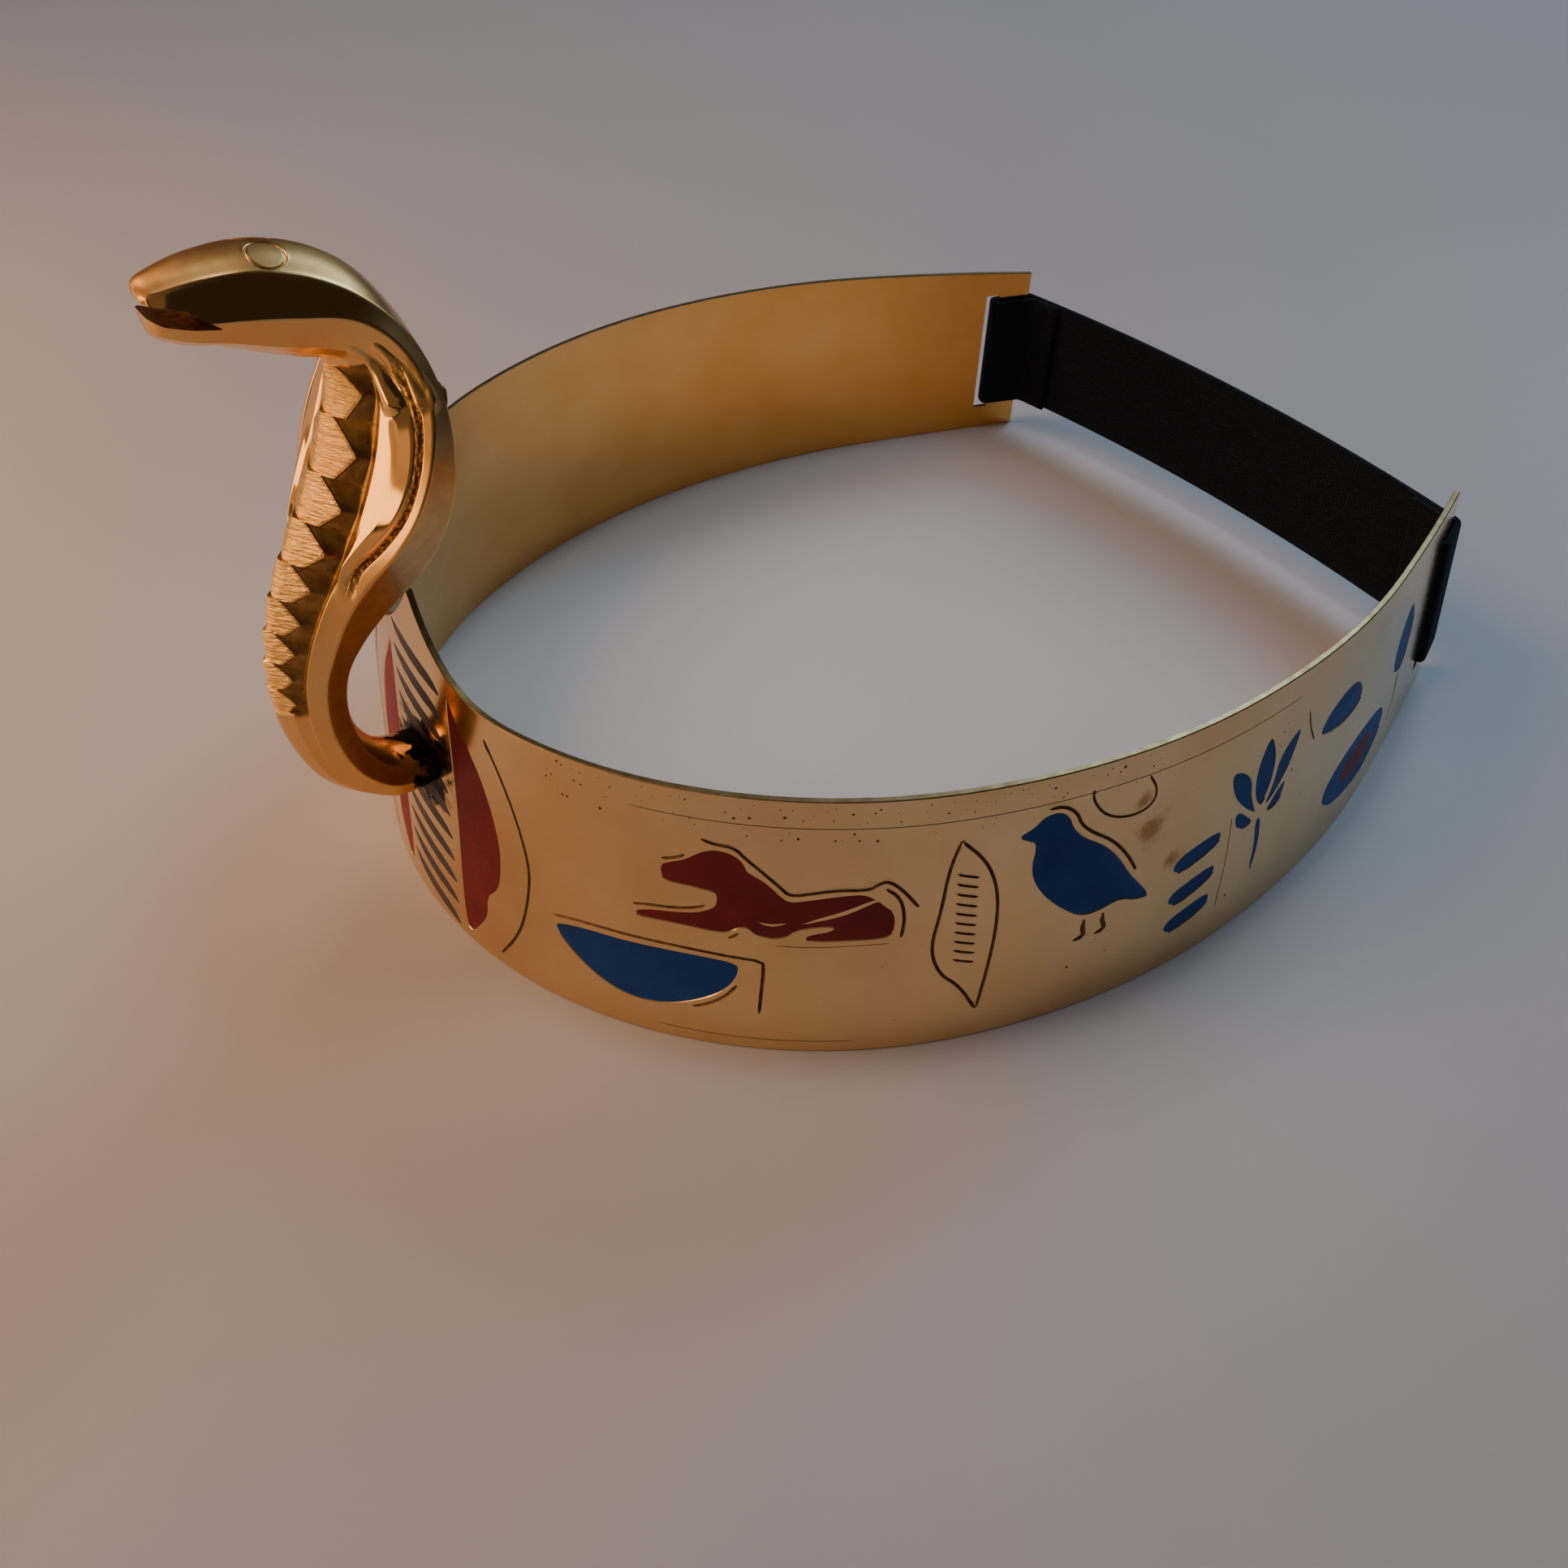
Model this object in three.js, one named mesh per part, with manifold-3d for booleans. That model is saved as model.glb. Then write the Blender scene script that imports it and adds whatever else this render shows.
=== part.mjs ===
// Snake crown: a brass head band with a cobra rising at the front and an elastic strap at the back.
// Units are millimetres, +Z is up, the cobra faces -Y and the crown stands on the band's lower edge.
import * as THREE from "three";
import { mergeVertices } from "three/addons/utils/BufferGeometryUtils.js";
import Module from "manifold-3d";

// Band: one side's plan from the front centre to its end, the other side is its mirror image
const SIDE_ARCS = [
  { length: 48, radius: 72 },
  { length: 42, radius: 82 },
  { length: 46, radius: 112 },
  { length: 48, radius: 147 },
  { length: 36, radius: 580 },
];
const SHEET = 1.0;
const LEAN_DEG = 5;
const SIDE_HEIGHT = 46.6;
const END_DROP = 9.6;
const DROP_POWER = 2.5;
const PEAK_RISE = 12;
const PEAK_HALF = 24;
const PEAK_POWER = 3.0;
const PEAK_STEP = 2.4;
const SIDE_STEP = 4.9;

// Slots for the elastic, measured from each end of the band
const END_BAR = 6.5;
const SLOT_WIDTH = 3.0;
const SLOT_MARGIN = 1.2;
const CUT_DEPTH = 12;

// Elastic strap
const STRAP_LOW = 6.5;
const STRAP_HIGH = 31.5;
const STRAP_THICK = 1.4;
const STRAP_GAP = 0.3;
const HOLE_OVERRUN = 1;
const STRAP_BOW = 4;
const STRAP_STEPS = 24;
const SEWN_LENGTH = 9;

// Cobra: sections from the soldered foot to the snout. Each has the points of its front (crest) line and
// its back line, then half widths with their depth as a share of the way from the back to the front.
const COLUMNS = [
  "frontY", "frontZ", "backY", "backZ",
  "edgeHalf", "edgeDepth", "rimHalf", "rimDepth", "shoulderHalf", "shoulderDepth",
];
const SECTIONS = [
  [2.8, 26.4, 3.4, 33.2, 3.9, 0.1, 5.0, 0.42, 4.2, 0.72],
  [-5.0, 27.2, -2.4, 34.4, 4.3, 0.1, 5.5, 0.42, 4.6, 0.72],
  [-12.0, 33.4, -6.0, 39.6, 4.6, 0.08, 5.9, 0.42, 4.9, 0.7],
  [-15.4, 42.6, -7.2, 46.0, 4.6, 0.06, 5.8, 0.42, 4.9, 0.68],
  [-16.0, 51.6, -6.2, 52.2, 4.8, 0.05, 6.0, 0.42, 5.0, 0.67],
  [-14.8, 59.0, -3.4, 56.8, 5.4, 0.04, 6.8, 0.44, 5.4, 0.67],
  [-12.5, 65.6, 0.4, 61.6, 7.0, 0.03, 8.4, 0.5, 6.2, 0.68],
  [-9.5, 71.0, 3.8, 66.6, 9.8, 0.02, 11.0, 0.54, 7.4, 0.7],
  [-6.2, 76.2, 6.3, 72.6, 13.0, 0.02, 14.6, 0.53, 8.2, 0.71],
  [-3.2, 81.4, 8.3, 78.8, 14.8, 0.02, 16.5, 0.48, 8.4, 0.7],
  [-0.8, 86.6, 9.7, 85.2, 14.4, 0.02, 16.0, 0.38, 8.2, 0.68],
  [0.7, 91.0, 10.7, 91.4, 11.6, 0.03, 13.0, 0.26, 7.4, 0.66],
  [0.8, 94.0, 9.8, 97.6, 8.4, 0.06, 9.8, 0.25, 6.2, 0.66],
  [-2.0, 95.2, 6.4, 103.2, 6.4, 0.1, 7.6, 0.31, 5.4, 0.72],
  [-6.0, 97.0, 1.2, 107.2, 5.2, 0.12, 6.2, 0.48, 4.8, 0.8],
  [-10.6, 99.2, -5.0, 109.3, 4.6, 0.12, 5.4, 0.58, 4.2, 0.84],
  [-14.2, 100.4, -11.4, 109.6, 3.8, 0.12, 4.4, 0.6, 3.4, 0.84],
  [-16.6, 101.7, -16.0, 108.6, 2.4, 0.14, 3.0, 0.55, 2.4, 0.84],
  [-17.6, 103.5, -17.8, 107.2, 1.2, 0.16, 1.5, 0.5, 1.2, 0.84],
];
const RINGS_PER_SECTION = 3;
const BACK_BULGE = 0.06;
const BACK_MID = 0.55;

// Hood relief, placed along the body by section number and across it in mm
const HOOD_START = [6.4, 7.4];
const HOOD_END = [11.2, 12.0];
const HEAD_START = [12.4, 14.0];
const HEAD_HOLLOW = 0.7;
const RIM_WIDTH = 0.9;
const GROOVE_WIDTH = 0.7;
const GROOVE_DEPTH = 0.06;
const PETAL_EDGE = 0.9;
const PETAL_CLEAR = 0.1;
const PETAL_INSET = 2.8;
const PETAL_RISE = 0.045;
const PETAL_LOW = 6.8;
const PETAL_WIDE = 9.0;
const FACE_SHARES = [0.15, 0.3, 0.45, 0.6, 0.8];
const VALLEY_WIDTH = 1.0;
const VALLEY_DEPTH = 0.04;
const VALLEY_BODY = 0.5;
const VALLEY_HEAD = 0.2;

// Crest scales: wide at the top and narrow at the bottom, each shorter than the one above it
const SCALE_COUNT = 9;
const SCALE_TOP = 11.05;
const SCALE_SHORTEST = 0.42;
const SCALE_EXTRA = 1.3;
const SCALE_RATIO = 0.58;
const SCALE_STEP = 0.03;
const SCALE_FADE_FROM = 5;
const SCALE_FADE = 0.14;
const SCALE_CLEAR = 0.12;
const TIP_NARROW = 0.42;
const TIP_WIDEN = 0.28;
const TIP_DEPTH = 0.26;
const CREST_LOW = -0.04;
const CREST_RISE = 0.09;
const CREST_HALF = 0.14;
const CREST_ROUND = 0.94;
const PLAIN_CREST = { up: 0.5, height: 0.3 };

// Mouth slit, as (y, z) points of its side view
const MOUTH_SIDE = [[-20, 104.5], [-9.2, 102.1], [-9.2, 102.6], [-20, 106.2]];
const MOUTH_HALF = 9;

const BRASS = { color: 0xc89b3c, roughness: 0.28, metalness: 1 };
const ELASTIC = { color: 0x0b0b0c, roughness: 0.9, metalness: 0 };

const LEAN = Math.tan(THREE.MathUtils.degToRad(LEAN_DEG));
const HALF_LENGTH = SIDE_ARCS.reduce((sum, arc) => sum + arc.length, 0);

const wasm = await Module();
wasm.setup();

function solidOf(geometry) {
  geometry.deleteAttribute("normal");
  geometry.deleteAttribute("uv");
  const merged = mergeVertices(geometry, 1e-4);
  return new wasm.Manifold(new wasm.Mesh({
    numProp: 3,
    vertProperties: merged.attributes.position.array,
    triVerts: new Uint32Array(merged.index.array),
  }));
}

function geometryOf(points, faces) {
  const geometry = new THREE.BufferGeometry();
  geometry.setAttribute("position", new THREE.Float32BufferAttribute(points.flat(), 3));
  geometry.setIndex(faces.flat());
  return geometry;
}

function meshOf(name, solid, look) {
  const made = solid.getMesh();
  const geometry = new THREE.BufferGeometry();
  geometry.setAttribute("position", new THREE.BufferAttribute(new Float32Array(made.vertProperties), 3));
  geometry.setIndex(new THREE.BufferAttribute(new Uint32Array(made.triVerts), 1));
  geometry.computeVertexNormals();
  const mesh = new THREE.Mesh(geometry, new THREE.MeshStandardMaterial(look));
  mesh.name = name;
  return mesh;
}

// Rings of equal length joined into one closed skin, with a flat cap at each end
function loft(rings) {
  const count = rings[0].length;
  const last = (rings.length - 1) * count;
  const ends = [rings[0], rings[rings.length - 1]];
  const middles = ends.map((ring) => [0, 1, 2].map((k) => ring.reduce((sum, p) => sum + p[k], 0) / count));
  const first = rings.length * count;
  const faces = [];
  for (let i = 0; i < count; i++) {
    const j = (i + 1) % count;
    for (let r = 0; r < last; r += count) {
      faces.push([r + i, r + j, r + j + count], [r + i, r + j + count, r + i + count]);
    }
    faces.push([first, j, i], [first + 1, last + i, last + j]);
  }
  return solidOf(geometryOf([...rings.flat(), ...middles], faces));
}

// Place on the band's outer lower edge, its direction and the outward direction at distance s
function planAt(s) {
  const side = s < 0 ? -1 : 1;
  let left = Math.abs(s);
  let angle = 0;
  let x = 0;
  let y = 0;
  for (const { length, radius } of SIDE_ARCS) {
    const run = Math.min(left, length);
    const next = angle + run / radius;
    x += radius * (Math.sin(next) - Math.sin(angle));
    y += radius * (Math.cos(angle) - Math.cos(next));
    angle = next;
    left -= run;
  }
  return {
    place: new THREE.Vector3(side * x, y, 0),
    along: new THREE.Vector3(side * Math.cos(angle), Math.sin(angle), 0),
    out: new THREE.Vector3(side * Math.sin(angle), -Math.cos(angle), 0),
  };
}

function heightAt(s) {
  const share = Math.abs(s) / HALF_LENGTH;
  const peak = Math.max(0, 1 - Math.abs(s) / PEAK_HALF);
  return SIDE_HEIGHT - END_DROP * share ** DROP_POWER + PEAK_RISE * peak ** PEAK_POWER;
}

function bandStations() {
  const side = [];
  for (let s = PEAK_STEP; s < PEAK_HALF; s += PEAK_STEP) side.push(s);
  const rest = Math.round((HALF_LENGTH - PEAK_HALF) / SIDE_STEP);
  for (let i = 0; i <= rest; i++) side.push(PEAK_HALF + ((HALF_LENGTH - PEAK_HALF) * i) / rest);
  return [...side.map((s) => -s).reverse(), 0, ...side];
}

function bandSolid() {
  const rings = bandStations().map((s) => {
    const { place, out } = planAt(s);
    const height = heightAt(s);
    const corner = (inset, z) => {
      const p = place.clone().addScaledVector(out, -inset - LEAN * z);
      return [p.x, p.y, z];
    };
    return [corner(0, height), corner(0, 0), corner(SHEET, 0), corner(SHEET, height)];
  });
  return loft(rings);
}

// A block in the leaning frame of one band end: along runs past the end, out away from the head
function endBlock(side, along, out, low, high) {
  const end = planAt(side * HALF_LENGTH);
  const outline = (z) => [[0, 0], [1, 0], [1, 1], [0, 1]].map(([a, o]) => {
    const p = end.place.clone().addScaledVector(end.along, along[a]);
    p.addScaledVector(end.out, out[o] - LEAN * z);
    return [p.x, p.y, z];
  });
  return prism(outline(low), outline(high));
}

// A closed block between a lower and an upper outline of the same points
function prism(lower, upper) {
  const flat = (ring) => ring.map(([x, y]) => new THREE.Vector2(x, y));
  if (THREE.ShapeUtils.isClockWise(flat(lower))) {
    lower.reverse();
    upper.reverse();
  }
  const count = lower.length;
  const faces = [];
  for (let i = 0; i < count; i++) {
    const j = (i + 1) % count;
    faces.push([i, j, j + count], [i, j + count, i + count]);
  }
  for (const [a, b, c] of THREE.ShapeUtils.triangulateShape(flat(lower), [])) {
    faces.push([c, b, a], [a + count, b + count, c + count]);
  }
  return solidOf(geometryOf([...lower, ...upper], faces));
}

function smooth([from, to], value) {
  return THREE.MathUtils.smoothstep(value, from, to);
}

// Section sizes between the rows of the table, on a curve through them
function sectionAt(u) {
  const last = SECTIONS.length - 1;
  const row = Math.min(Math.floor(u), last - 1);
  const t = u - row;
  const pick = (i) => SECTIONS[THREE.MathUtils.clamp(i, 0, last)];
  const [p, q, r, w] = [pick(row - 1), pick(row), pick(row + 1), pick(row + 2)];
  const size = {};
  COLUMNS.forEach((name, c) => {
    const rise = (r[c] - p[c]) / 2;
    const next = (w[c] - q[c]) / 2;
    const t2 = t * t;
    const t3 = t2 * t;
    size[name] = (2 * t3 - 3 * t2 + 1) * q[c] + (t3 - 2 * t2 + t) * rise
      + (3 * t2 - 2 * t3) * r[c] + (t3 - t2) * next;
  });
  return size;
}

function scaleTops() {
  const tops = [SCALE_TOP];
  for (let k = 0; k < SCALE_COUNT; k++) {
    tops.push(tops[k] - SCALE_SHORTEST - SCALE_EXTRA * SCALE_RATIO ** k);
  }
  return tops;
}

// How far a place is up its own scale, from 0 at the bottom to 1 at the top, and how tall the scale is
function scaleAt(u) {
  const tops = scaleTops();
  for (let k = 0; k < SCALE_COUNT; k++) {
    if (u <= tops[k] && u > tops[k + 1]) {
      const height = 1 - SCALE_FADE * Math.max(0, k - SCALE_FADE_FROM + 1);
      return { up: (u - tops[k + 1]) / (tops[k] - tops[k + 1]), height };
    }
  }
  return PLAIN_CREST;
}

// Outer edge of the hood's petal: along the rim above, swinging in to the crest below
function petalEdge(u, size) {
  const outer = size.rimHalf - PETAL_INSET;
  const share = THREE.MathUtils.clamp((u - PETAL_LOW) / (PETAL_WIDE - PETAL_LOW), 0, 1);
  const swing = Math.sqrt(1 - (1 - share) ** 2);
  return Math.max(size.shoulderHalf + PETAL_EDGE, THREE.MathUtils.lerp(size.shoulderHalf, outer, swing));
}

// Half of one section, from the middle of the back round to the crest, as (half width, depth)
function halfSection(u) {
  const size = sectionAt(u);
  const { edgeHalf, edgeDepth, rimHalf, rimDepth, shoulderHalf, shoulderDepth } = size;
  const hood = smooth(HOOD_START, u) * (1 - smooth(HOOD_END, u));
  const head = smooth(HEAD_START, u);
  const scale = scaleAt(u);
  const slope = (shoulderDepth - rimDepth) / (rimHalf - shoulderHalf);
  const face = (x) => rimDepth + slope * (rimHalf - x);
  const across = (share) => THREE.MathUtils.lerp(rimHalf, shoulderHalf, share);
  const relief = (share, raised, rise) => {
    const x = THREE.MathUtils.lerp(across(share), raised, hood);
    return [x, face(x) + hood * rise];
  };
  const petal = petalEdge(u, size);
  const groove = rimHalf - RIM_WIDTH - GROOVE_WIDTH;
  const bodyValley = THREE.MathUtils.lerp(VALLEY_BODY, 1, hood);
  const valley = VALLEY_WIDTH * THREE.MathUtils.lerp(bodyValley, VALLEY_HEAD, head);
  const tipHalf = shoulderHalf * (TIP_NARROW + TIP_WIDEN * scale.up * scale.height);
  const tipDepth = THREE.MathUtils.lerp(shoulderDepth, 1, TIP_DEPTH);
  const crest = 1 + (CREST_LOW + CREST_RISE * scale.up) * scale.height * (1 - head);
  const carved = [
    [rimHalf - RIM_WIDTH, 0],
    [groove, -GROOVE_DEPTH],
    [Math.min(petal + PETAL_EDGE, groove - PETAL_CLEAR), -GROOVE_DEPTH],
    [petal, 0],
    [(petal + shoulderHalf) / 2, PETAL_RISE],
  ];
  return {
    size,
    points: [
      [0, -BACK_BULGE],
      [BACK_MID * edgeHalf, THREE.MathUtils.lerp(-BACK_BULGE, edgeDepth, BACK_MID ** 2)],
      [edgeHalf, edgeDepth],
      [(edgeHalf + rimHalf) / 2 - HEAD_HOLLOW * head, (edgeDepth + rimDepth) / 2],
      [rimHalf, rimDepth],
      ...carved.map(([x, rise], i) => relief(FACE_SHARES[i], x, rise)),
      [shoulderHalf, shoulderDepth],
      [shoulderHalf - valley, shoulderDepth - VALLEY_DEPTH * hood],
      [tipHalf, tipDepth],
      [CREST_HALF * shoulderHalf, THREE.MathUtils.lerp(tipDepth, crest, CREST_ROUND)],
      [0, crest],
    ],
  };
}

function cobraRing(u) {
  const { size, points } = halfSection(u);
  const place = ([x, depth]) => [
    x,
    THREE.MathUtils.lerp(size.backY, size.frontY, depth),
    THREE.MathUtils.lerp(size.backZ, size.frontZ, depth),
  ];
  const right = points.map(place);
  const left = right.slice(1, -1).map(([x, y, z]) => [-x, y, z]);
  return [right[0], ...left, ...right.slice(1).reverse()];
}

function cobraSolid() {
  const last = SECTIONS.length - 1;
  const steps = scaleTops();
  const places = [];
  for (let i = 0; i <= last * RINGS_PER_SECTION; i++) {
    const u = i / RINGS_PER_SECTION;
    if (steps.every((top) => Math.abs(top - u) > SCALE_CLEAR)) places.push(u);
  }
  for (const top of steps) places.push(top - SCALE_STEP, top + SCALE_STEP);
  places.sort((a, b) => a - b);
  return loft(places.map(cobraRing));
}

function mouthCut() {
  const face = (x) => MOUTH_SIDE.map(([y, z]) => [x, y, z]);
  return loft([face(-MOUTH_HALF), face(MOUTH_HALF)]);
}

function slotCut(side) {
  const along = [-END_BAR - SLOT_WIDTH, -END_BAR];
  const through = [-CUT_DEPTH / 2, CUT_DEPTH / 2];
  return endBlock(side, along, through, STRAP_LOW - SLOT_MARGIN, STRAP_HIGH + SLOT_MARGIN);
}

// The elastic's loop round one end bar, with the hole that the bar goes through
const LOOP_IN = -END_BAR - SLOT_WIDTH / 2 - STRAP_THICK / 2;
function strapLoop(side) {
  const reach = STRAP_GAP + STRAP_THICK;
  return endBlock(side, [LOOP_IN, reach], [-SHEET - reach, reach], STRAP_LOW, STRAP_HIGH);
}
function strapHole(side) {
  const along = [LOOP_IN + STRAP_THICK, STRAP_GAP];
  const out = [-SHEET - STRAP_GAP, STRAP_GAP];
  return endBlock(side, along, out, STRAP_LOW - HOLE_OVERRUN, STRAP_HIGH + HOLE_OVERRUN);
}

// The run of elastic between the two loops, two plies thick where each end is sewn back on itself
function strapRun() {
  const outline = (z) => {
    const end = planAt(HALF_LENGTH);
    const corner = end.place.clone()
      .addScaledVector(end.along, STRAP_GAP + STRAP_THICK / 2)
      .addScaledVector(end.out, STRAP_GAP + STRAP_THICK / 2 - LEAN * z);
    const reach = corner.x;
    const back = (x) => corner.y + STRAP_BOW * (1 - (x / reach) ** 2) + STRAP_THICK / 2;
    const outer = [];
    for (let i = 0; i <= STRAP_STEPS; i++) outer.push(reach * (1 - (2 * i) / STRAP_STEPS));
    const sewn = reach - SEWN_LENGTH;
    const single = outer.filter((x) => Math.abs(x) < sewn - STRAP_THICK).reverse();
    const inner = [-reach, -sewn, -sewn, ...single, sewn, sewn, reach];
    const plies = inner.map((_, i) => (i < 2 || i >= inner.length - 2 ? 2 : 1));
    return [
      ...outer.map((x) => [x, back(x), z]),
      ...inner.map((x, i) => [x, back(x) - plies[i] * STRAP_THICK, z]),
    ];
  };
  return prism(outline(STRAP_LOW), outline(STRAP_HIGH));
}

const brass = bandSolid()
  .subtract(slotCut(1))
  .subtract(slotCut(-1))
  .add(cobraSolid().subtract(mouthCut()));
const elastic = strapRun()
  .add(strapLoop(1))
  .add(strapLoop(-1))
  .subtract(strapHole(1))
  .subtract(strapHole(-1));

const crown = new THREE.Group();
crown.name = "snake_crown";
crown.add(meshOf("cobra_band", brass, BRASS), meshOf("elastic_strap", elastic, ELASTIC));

// The origin is on the table, under the middle of the crown
const middle = new THREE.Box3().setFromObject(crown).getCenter(new THREE.Vector3());
for (const mesh of crown.children) mesh.geometry.translate(-middle.x, -middle.y, 0);

export default crown;
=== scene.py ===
# Snake crown: the brass band with its cobra, paint and engraving, and the elastic at the back.
# Sizes are in millimetres from the front centre of the band's lower edge, with the cobra facing -Y.
import math
import random

import bmesh
import bpy
import numpy as np
from mathutils import Matrix, Vector
from mathutils.bvhtree import BVHTree
from mathutils.geometry import delaunay_2d_cdt


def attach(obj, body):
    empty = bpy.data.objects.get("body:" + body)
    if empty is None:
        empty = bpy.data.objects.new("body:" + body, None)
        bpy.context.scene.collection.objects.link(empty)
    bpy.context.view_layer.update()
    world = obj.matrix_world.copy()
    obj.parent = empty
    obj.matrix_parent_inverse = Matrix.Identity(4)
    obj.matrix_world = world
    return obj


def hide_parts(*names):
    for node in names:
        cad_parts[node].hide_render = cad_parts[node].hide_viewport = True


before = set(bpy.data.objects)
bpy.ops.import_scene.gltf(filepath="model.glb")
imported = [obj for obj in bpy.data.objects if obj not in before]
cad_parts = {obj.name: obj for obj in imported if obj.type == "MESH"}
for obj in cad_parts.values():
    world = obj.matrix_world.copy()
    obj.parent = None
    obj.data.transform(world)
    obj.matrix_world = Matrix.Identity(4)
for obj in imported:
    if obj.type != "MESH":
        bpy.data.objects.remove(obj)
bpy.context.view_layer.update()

MM = 0.001
MM_PER_UV = 100
ON_TABLE = 1e-5
TINY = 1e-9
FRONT_Y = min(v.co.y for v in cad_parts["cobra_band"].data.vertices if v.co.z < ON_TABLE) / MM

# Band
SIDE_ARCS = ((48, 72), (42, 82), (46, 112), (48, 147), (36, 580))
HALF_LENGTH = sum(length for length, _ in SIDE_ARCS)
SHEET = 1.0
LEAN = math.tan(math.radians(5))
SIDE_HEIGHT = 46.6
END_DROP = 9.6
DROP_POWER = 2.5
PEAK_RISE = 12
PEAK_HALF = 24
PEAK_POWER = 3.0
CHAMFER = 0.14
STATIONS = 241
END_ROWS = 9
PLATE_ROWS = 9
PLATE_CLEAR = 0.75
PLATE_END = 1.5
SAME_POINT = 1e-5
SLOT = (210.5, 213.5, 5.3, 32.7)

# Finish of the band: each paint's wall width and depth below the brass, then the lines and the pits
PAINT_STEP = {"red": (0.14, 0.10), "blue": (0.14, 0.10), "slate": (0.10, 0.012)}
LINE_DEPTH = 0.2
LINE_HALF = 0.27
LINE_TIP = 0.25
LINE_TAPER = 3
BURR = 0.26
BURR_RISE = 0.06
SCRIBE_DEPTH = 0.05
SCRIBE_HALF = 0.07
PIT_DEPTH = 0.16
PIT_SIDES = 6
SAMPLE_GAP = 0.3

# Elastic
STRAP_LOW = 6.5
STRAP_HIGH = 31.5
STRAP_HALF = 0.62
STRAP_EDGE = 0.6
STRAP_BOW = 4
STRAP_BEND = 0.8
SEWN_LENGTH = 9
LOOP_OUT = 0.74
LOOP_IN = -1.74
LOOP_PAST = 0.74
LOOP_SLOT = -7.5
SEWN_POINTS = 8
SEWN_CLEAR = 1.4
RUN_POINTS = 26
RUN_CLEAR = 2
BEND_POINTS = 6
STRAP_ROWS = 14
# Distance from the elastic's edge with its thickness there, as a share
STRAP_PROFILE = ((0, 0.3), (0.12, 0.62), (0.32, 0.86), (STRAP_EDGE, 1.0))

# Cobra: front y and z, back y and z, then half widths with their depth as a share from back to front
SECTIONS = np.array((
    (2.8, 26.4, 3.4, 33.2, 3.9, 0.1, 5.0, 0.42, 4.2, 0.72),
    (-5.0, 27.2, -2.4, 34.4, 4.3, 0.1, 5.5, 0.42, 4.6, 0.72),
    (-12.0, 33.4, -6.0, 39.6, 4.6, 0.08, 5.9, 0.42, 4.9, 0.7),
    (-15.4, 42.6, -7.2, 46.0, 4.6, 0.06, 5.8, 0.42, 4.9, 0.68),
    (-16.0, 51.6, -6.2, 52.2, 4.8, 0.05, 6.0, 0.42, 5.0, 0.67),
    (-14.8, 59.0, -3.4, 56.8, 5.4, 0.04, 6.8, 0.44, 5.4, 0.67),
    (-12.5, 65.6, 0.4, 61.6, 7.0, 0.03, 8.4, 0.5, 6.2, 0.68),
    (-9.5, 71.0, 3.8, 66.6, 9.8, 0.02, 11.0, 0.54, 7.4, 0.7),
    (-6.2, 76.2, 6.3, 72.6, 13.0, 0.02, 14.6, 0.53, 8.2, 0.71),
    (-3.2, 81.4, 8.3, 78.8, 14.8, 0.02, 16.5, 0.48, 8.4, 0.7),
    (-0.8, 86.6, 9.7, 85.2, 14.4, 0.02, 16.0, 0.38, 8.2, 0.68),
    (0.7, 91.0, 10.7, 91.4, 11.6, 0.03, 13.0, 0.26, 7.4, 0.66),
    (0.8, 94.0, 9.8, 97.6, 8.4, 0.06, 9.8, 0.25, 6.2, 0.66),
    (-2.0, 95.2, 6.4, 103.2, 6.4, 0.1, 7.6, 0.31, 5.4, 0.72),
    (-6.0, 97.0, 1.2, 107.2, 5.2, 0.12, 6.2, 0.48, 4.8, 0.8),
    (-10.6, 99.2, -5.0, 109.3, 4.6, 0.12, 5.4, 0.58, 4.2, 0.84),
    (-14.2, 100.4, -11.4, 109.6, 3.8, 0.12, 4.4, 0.6, 3.4, 0.84),
    (-16.6, 101.8, -16.3, 108.9, 2.7, 0.14, 3.3, 0.55, 2.6, 0.84),
    (-17.5, 102.7, -17.7, 108.3, 1.5, 0.16, 1.9, 0.5, 1.5, 0.84),
))
RINGS_PER_SECTION = 12
NECK_ROWS = (11, 13)
BACK_BULGE = 0.06
BACK_MID = 0.55
HOOD_START = (6.4, 7.4)
HOOD_END = (11.2, 12.0)
HEAD_START = (12.4, 14.0)
HEAD_HOLLOW = -0.1
GROOVE_SPAN = 1.5
GROOVE_DEPTH = 0.075
PETAL_EDGE = 0.35
PETAL_INSET = 2.9
PETAL_RISE = 0.055
PETAL_LOW = 6.8
PETAL_WIDE = 9.0
FACE_SHARES = (0.15, 0.3, 0.45, 0.6, 0.8)
VALLEY_HOOD = 1.9
VALLEY_BODY = 0.9
VALLEY_HEAD = 0.2
VALLEY_DEPTH = 0.075
VALLEY_SHALLOW = 0.5
SCALE_TIPS = (10.95, 9.43, 8.28, 7.3, 6.36, 5.6, 4.94, 4.33, 3.85)
SCALE_STEP = 0.012
SCALE_CLEAR = 0.045
TIP_PHASE = 0.48
TIP_TOP = 0.26
TIP_BOTTOM = 0.56
TIP_PLAIN = 0.8
TIP_WIDE = 0.72
TIP_DEPTH = 0.34
FACE_TILT = 0.02
CREST_HALF = 0.3
CREST_ROUND = 0.84
CORNER_SHARE = 0.42
CREASE = math.radians(48)
# How far each key point of a half section is rounded, from the middle of the back to the crest
SOFT = 9.0
ROUNDING = (SOFT, SOFT, 0.25, SOFT, 0.4, 0.3, 0.1, 0.1, 0.2, SOFT, 0.2, 0.7, 0.12, 0.3, 0.3)
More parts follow.
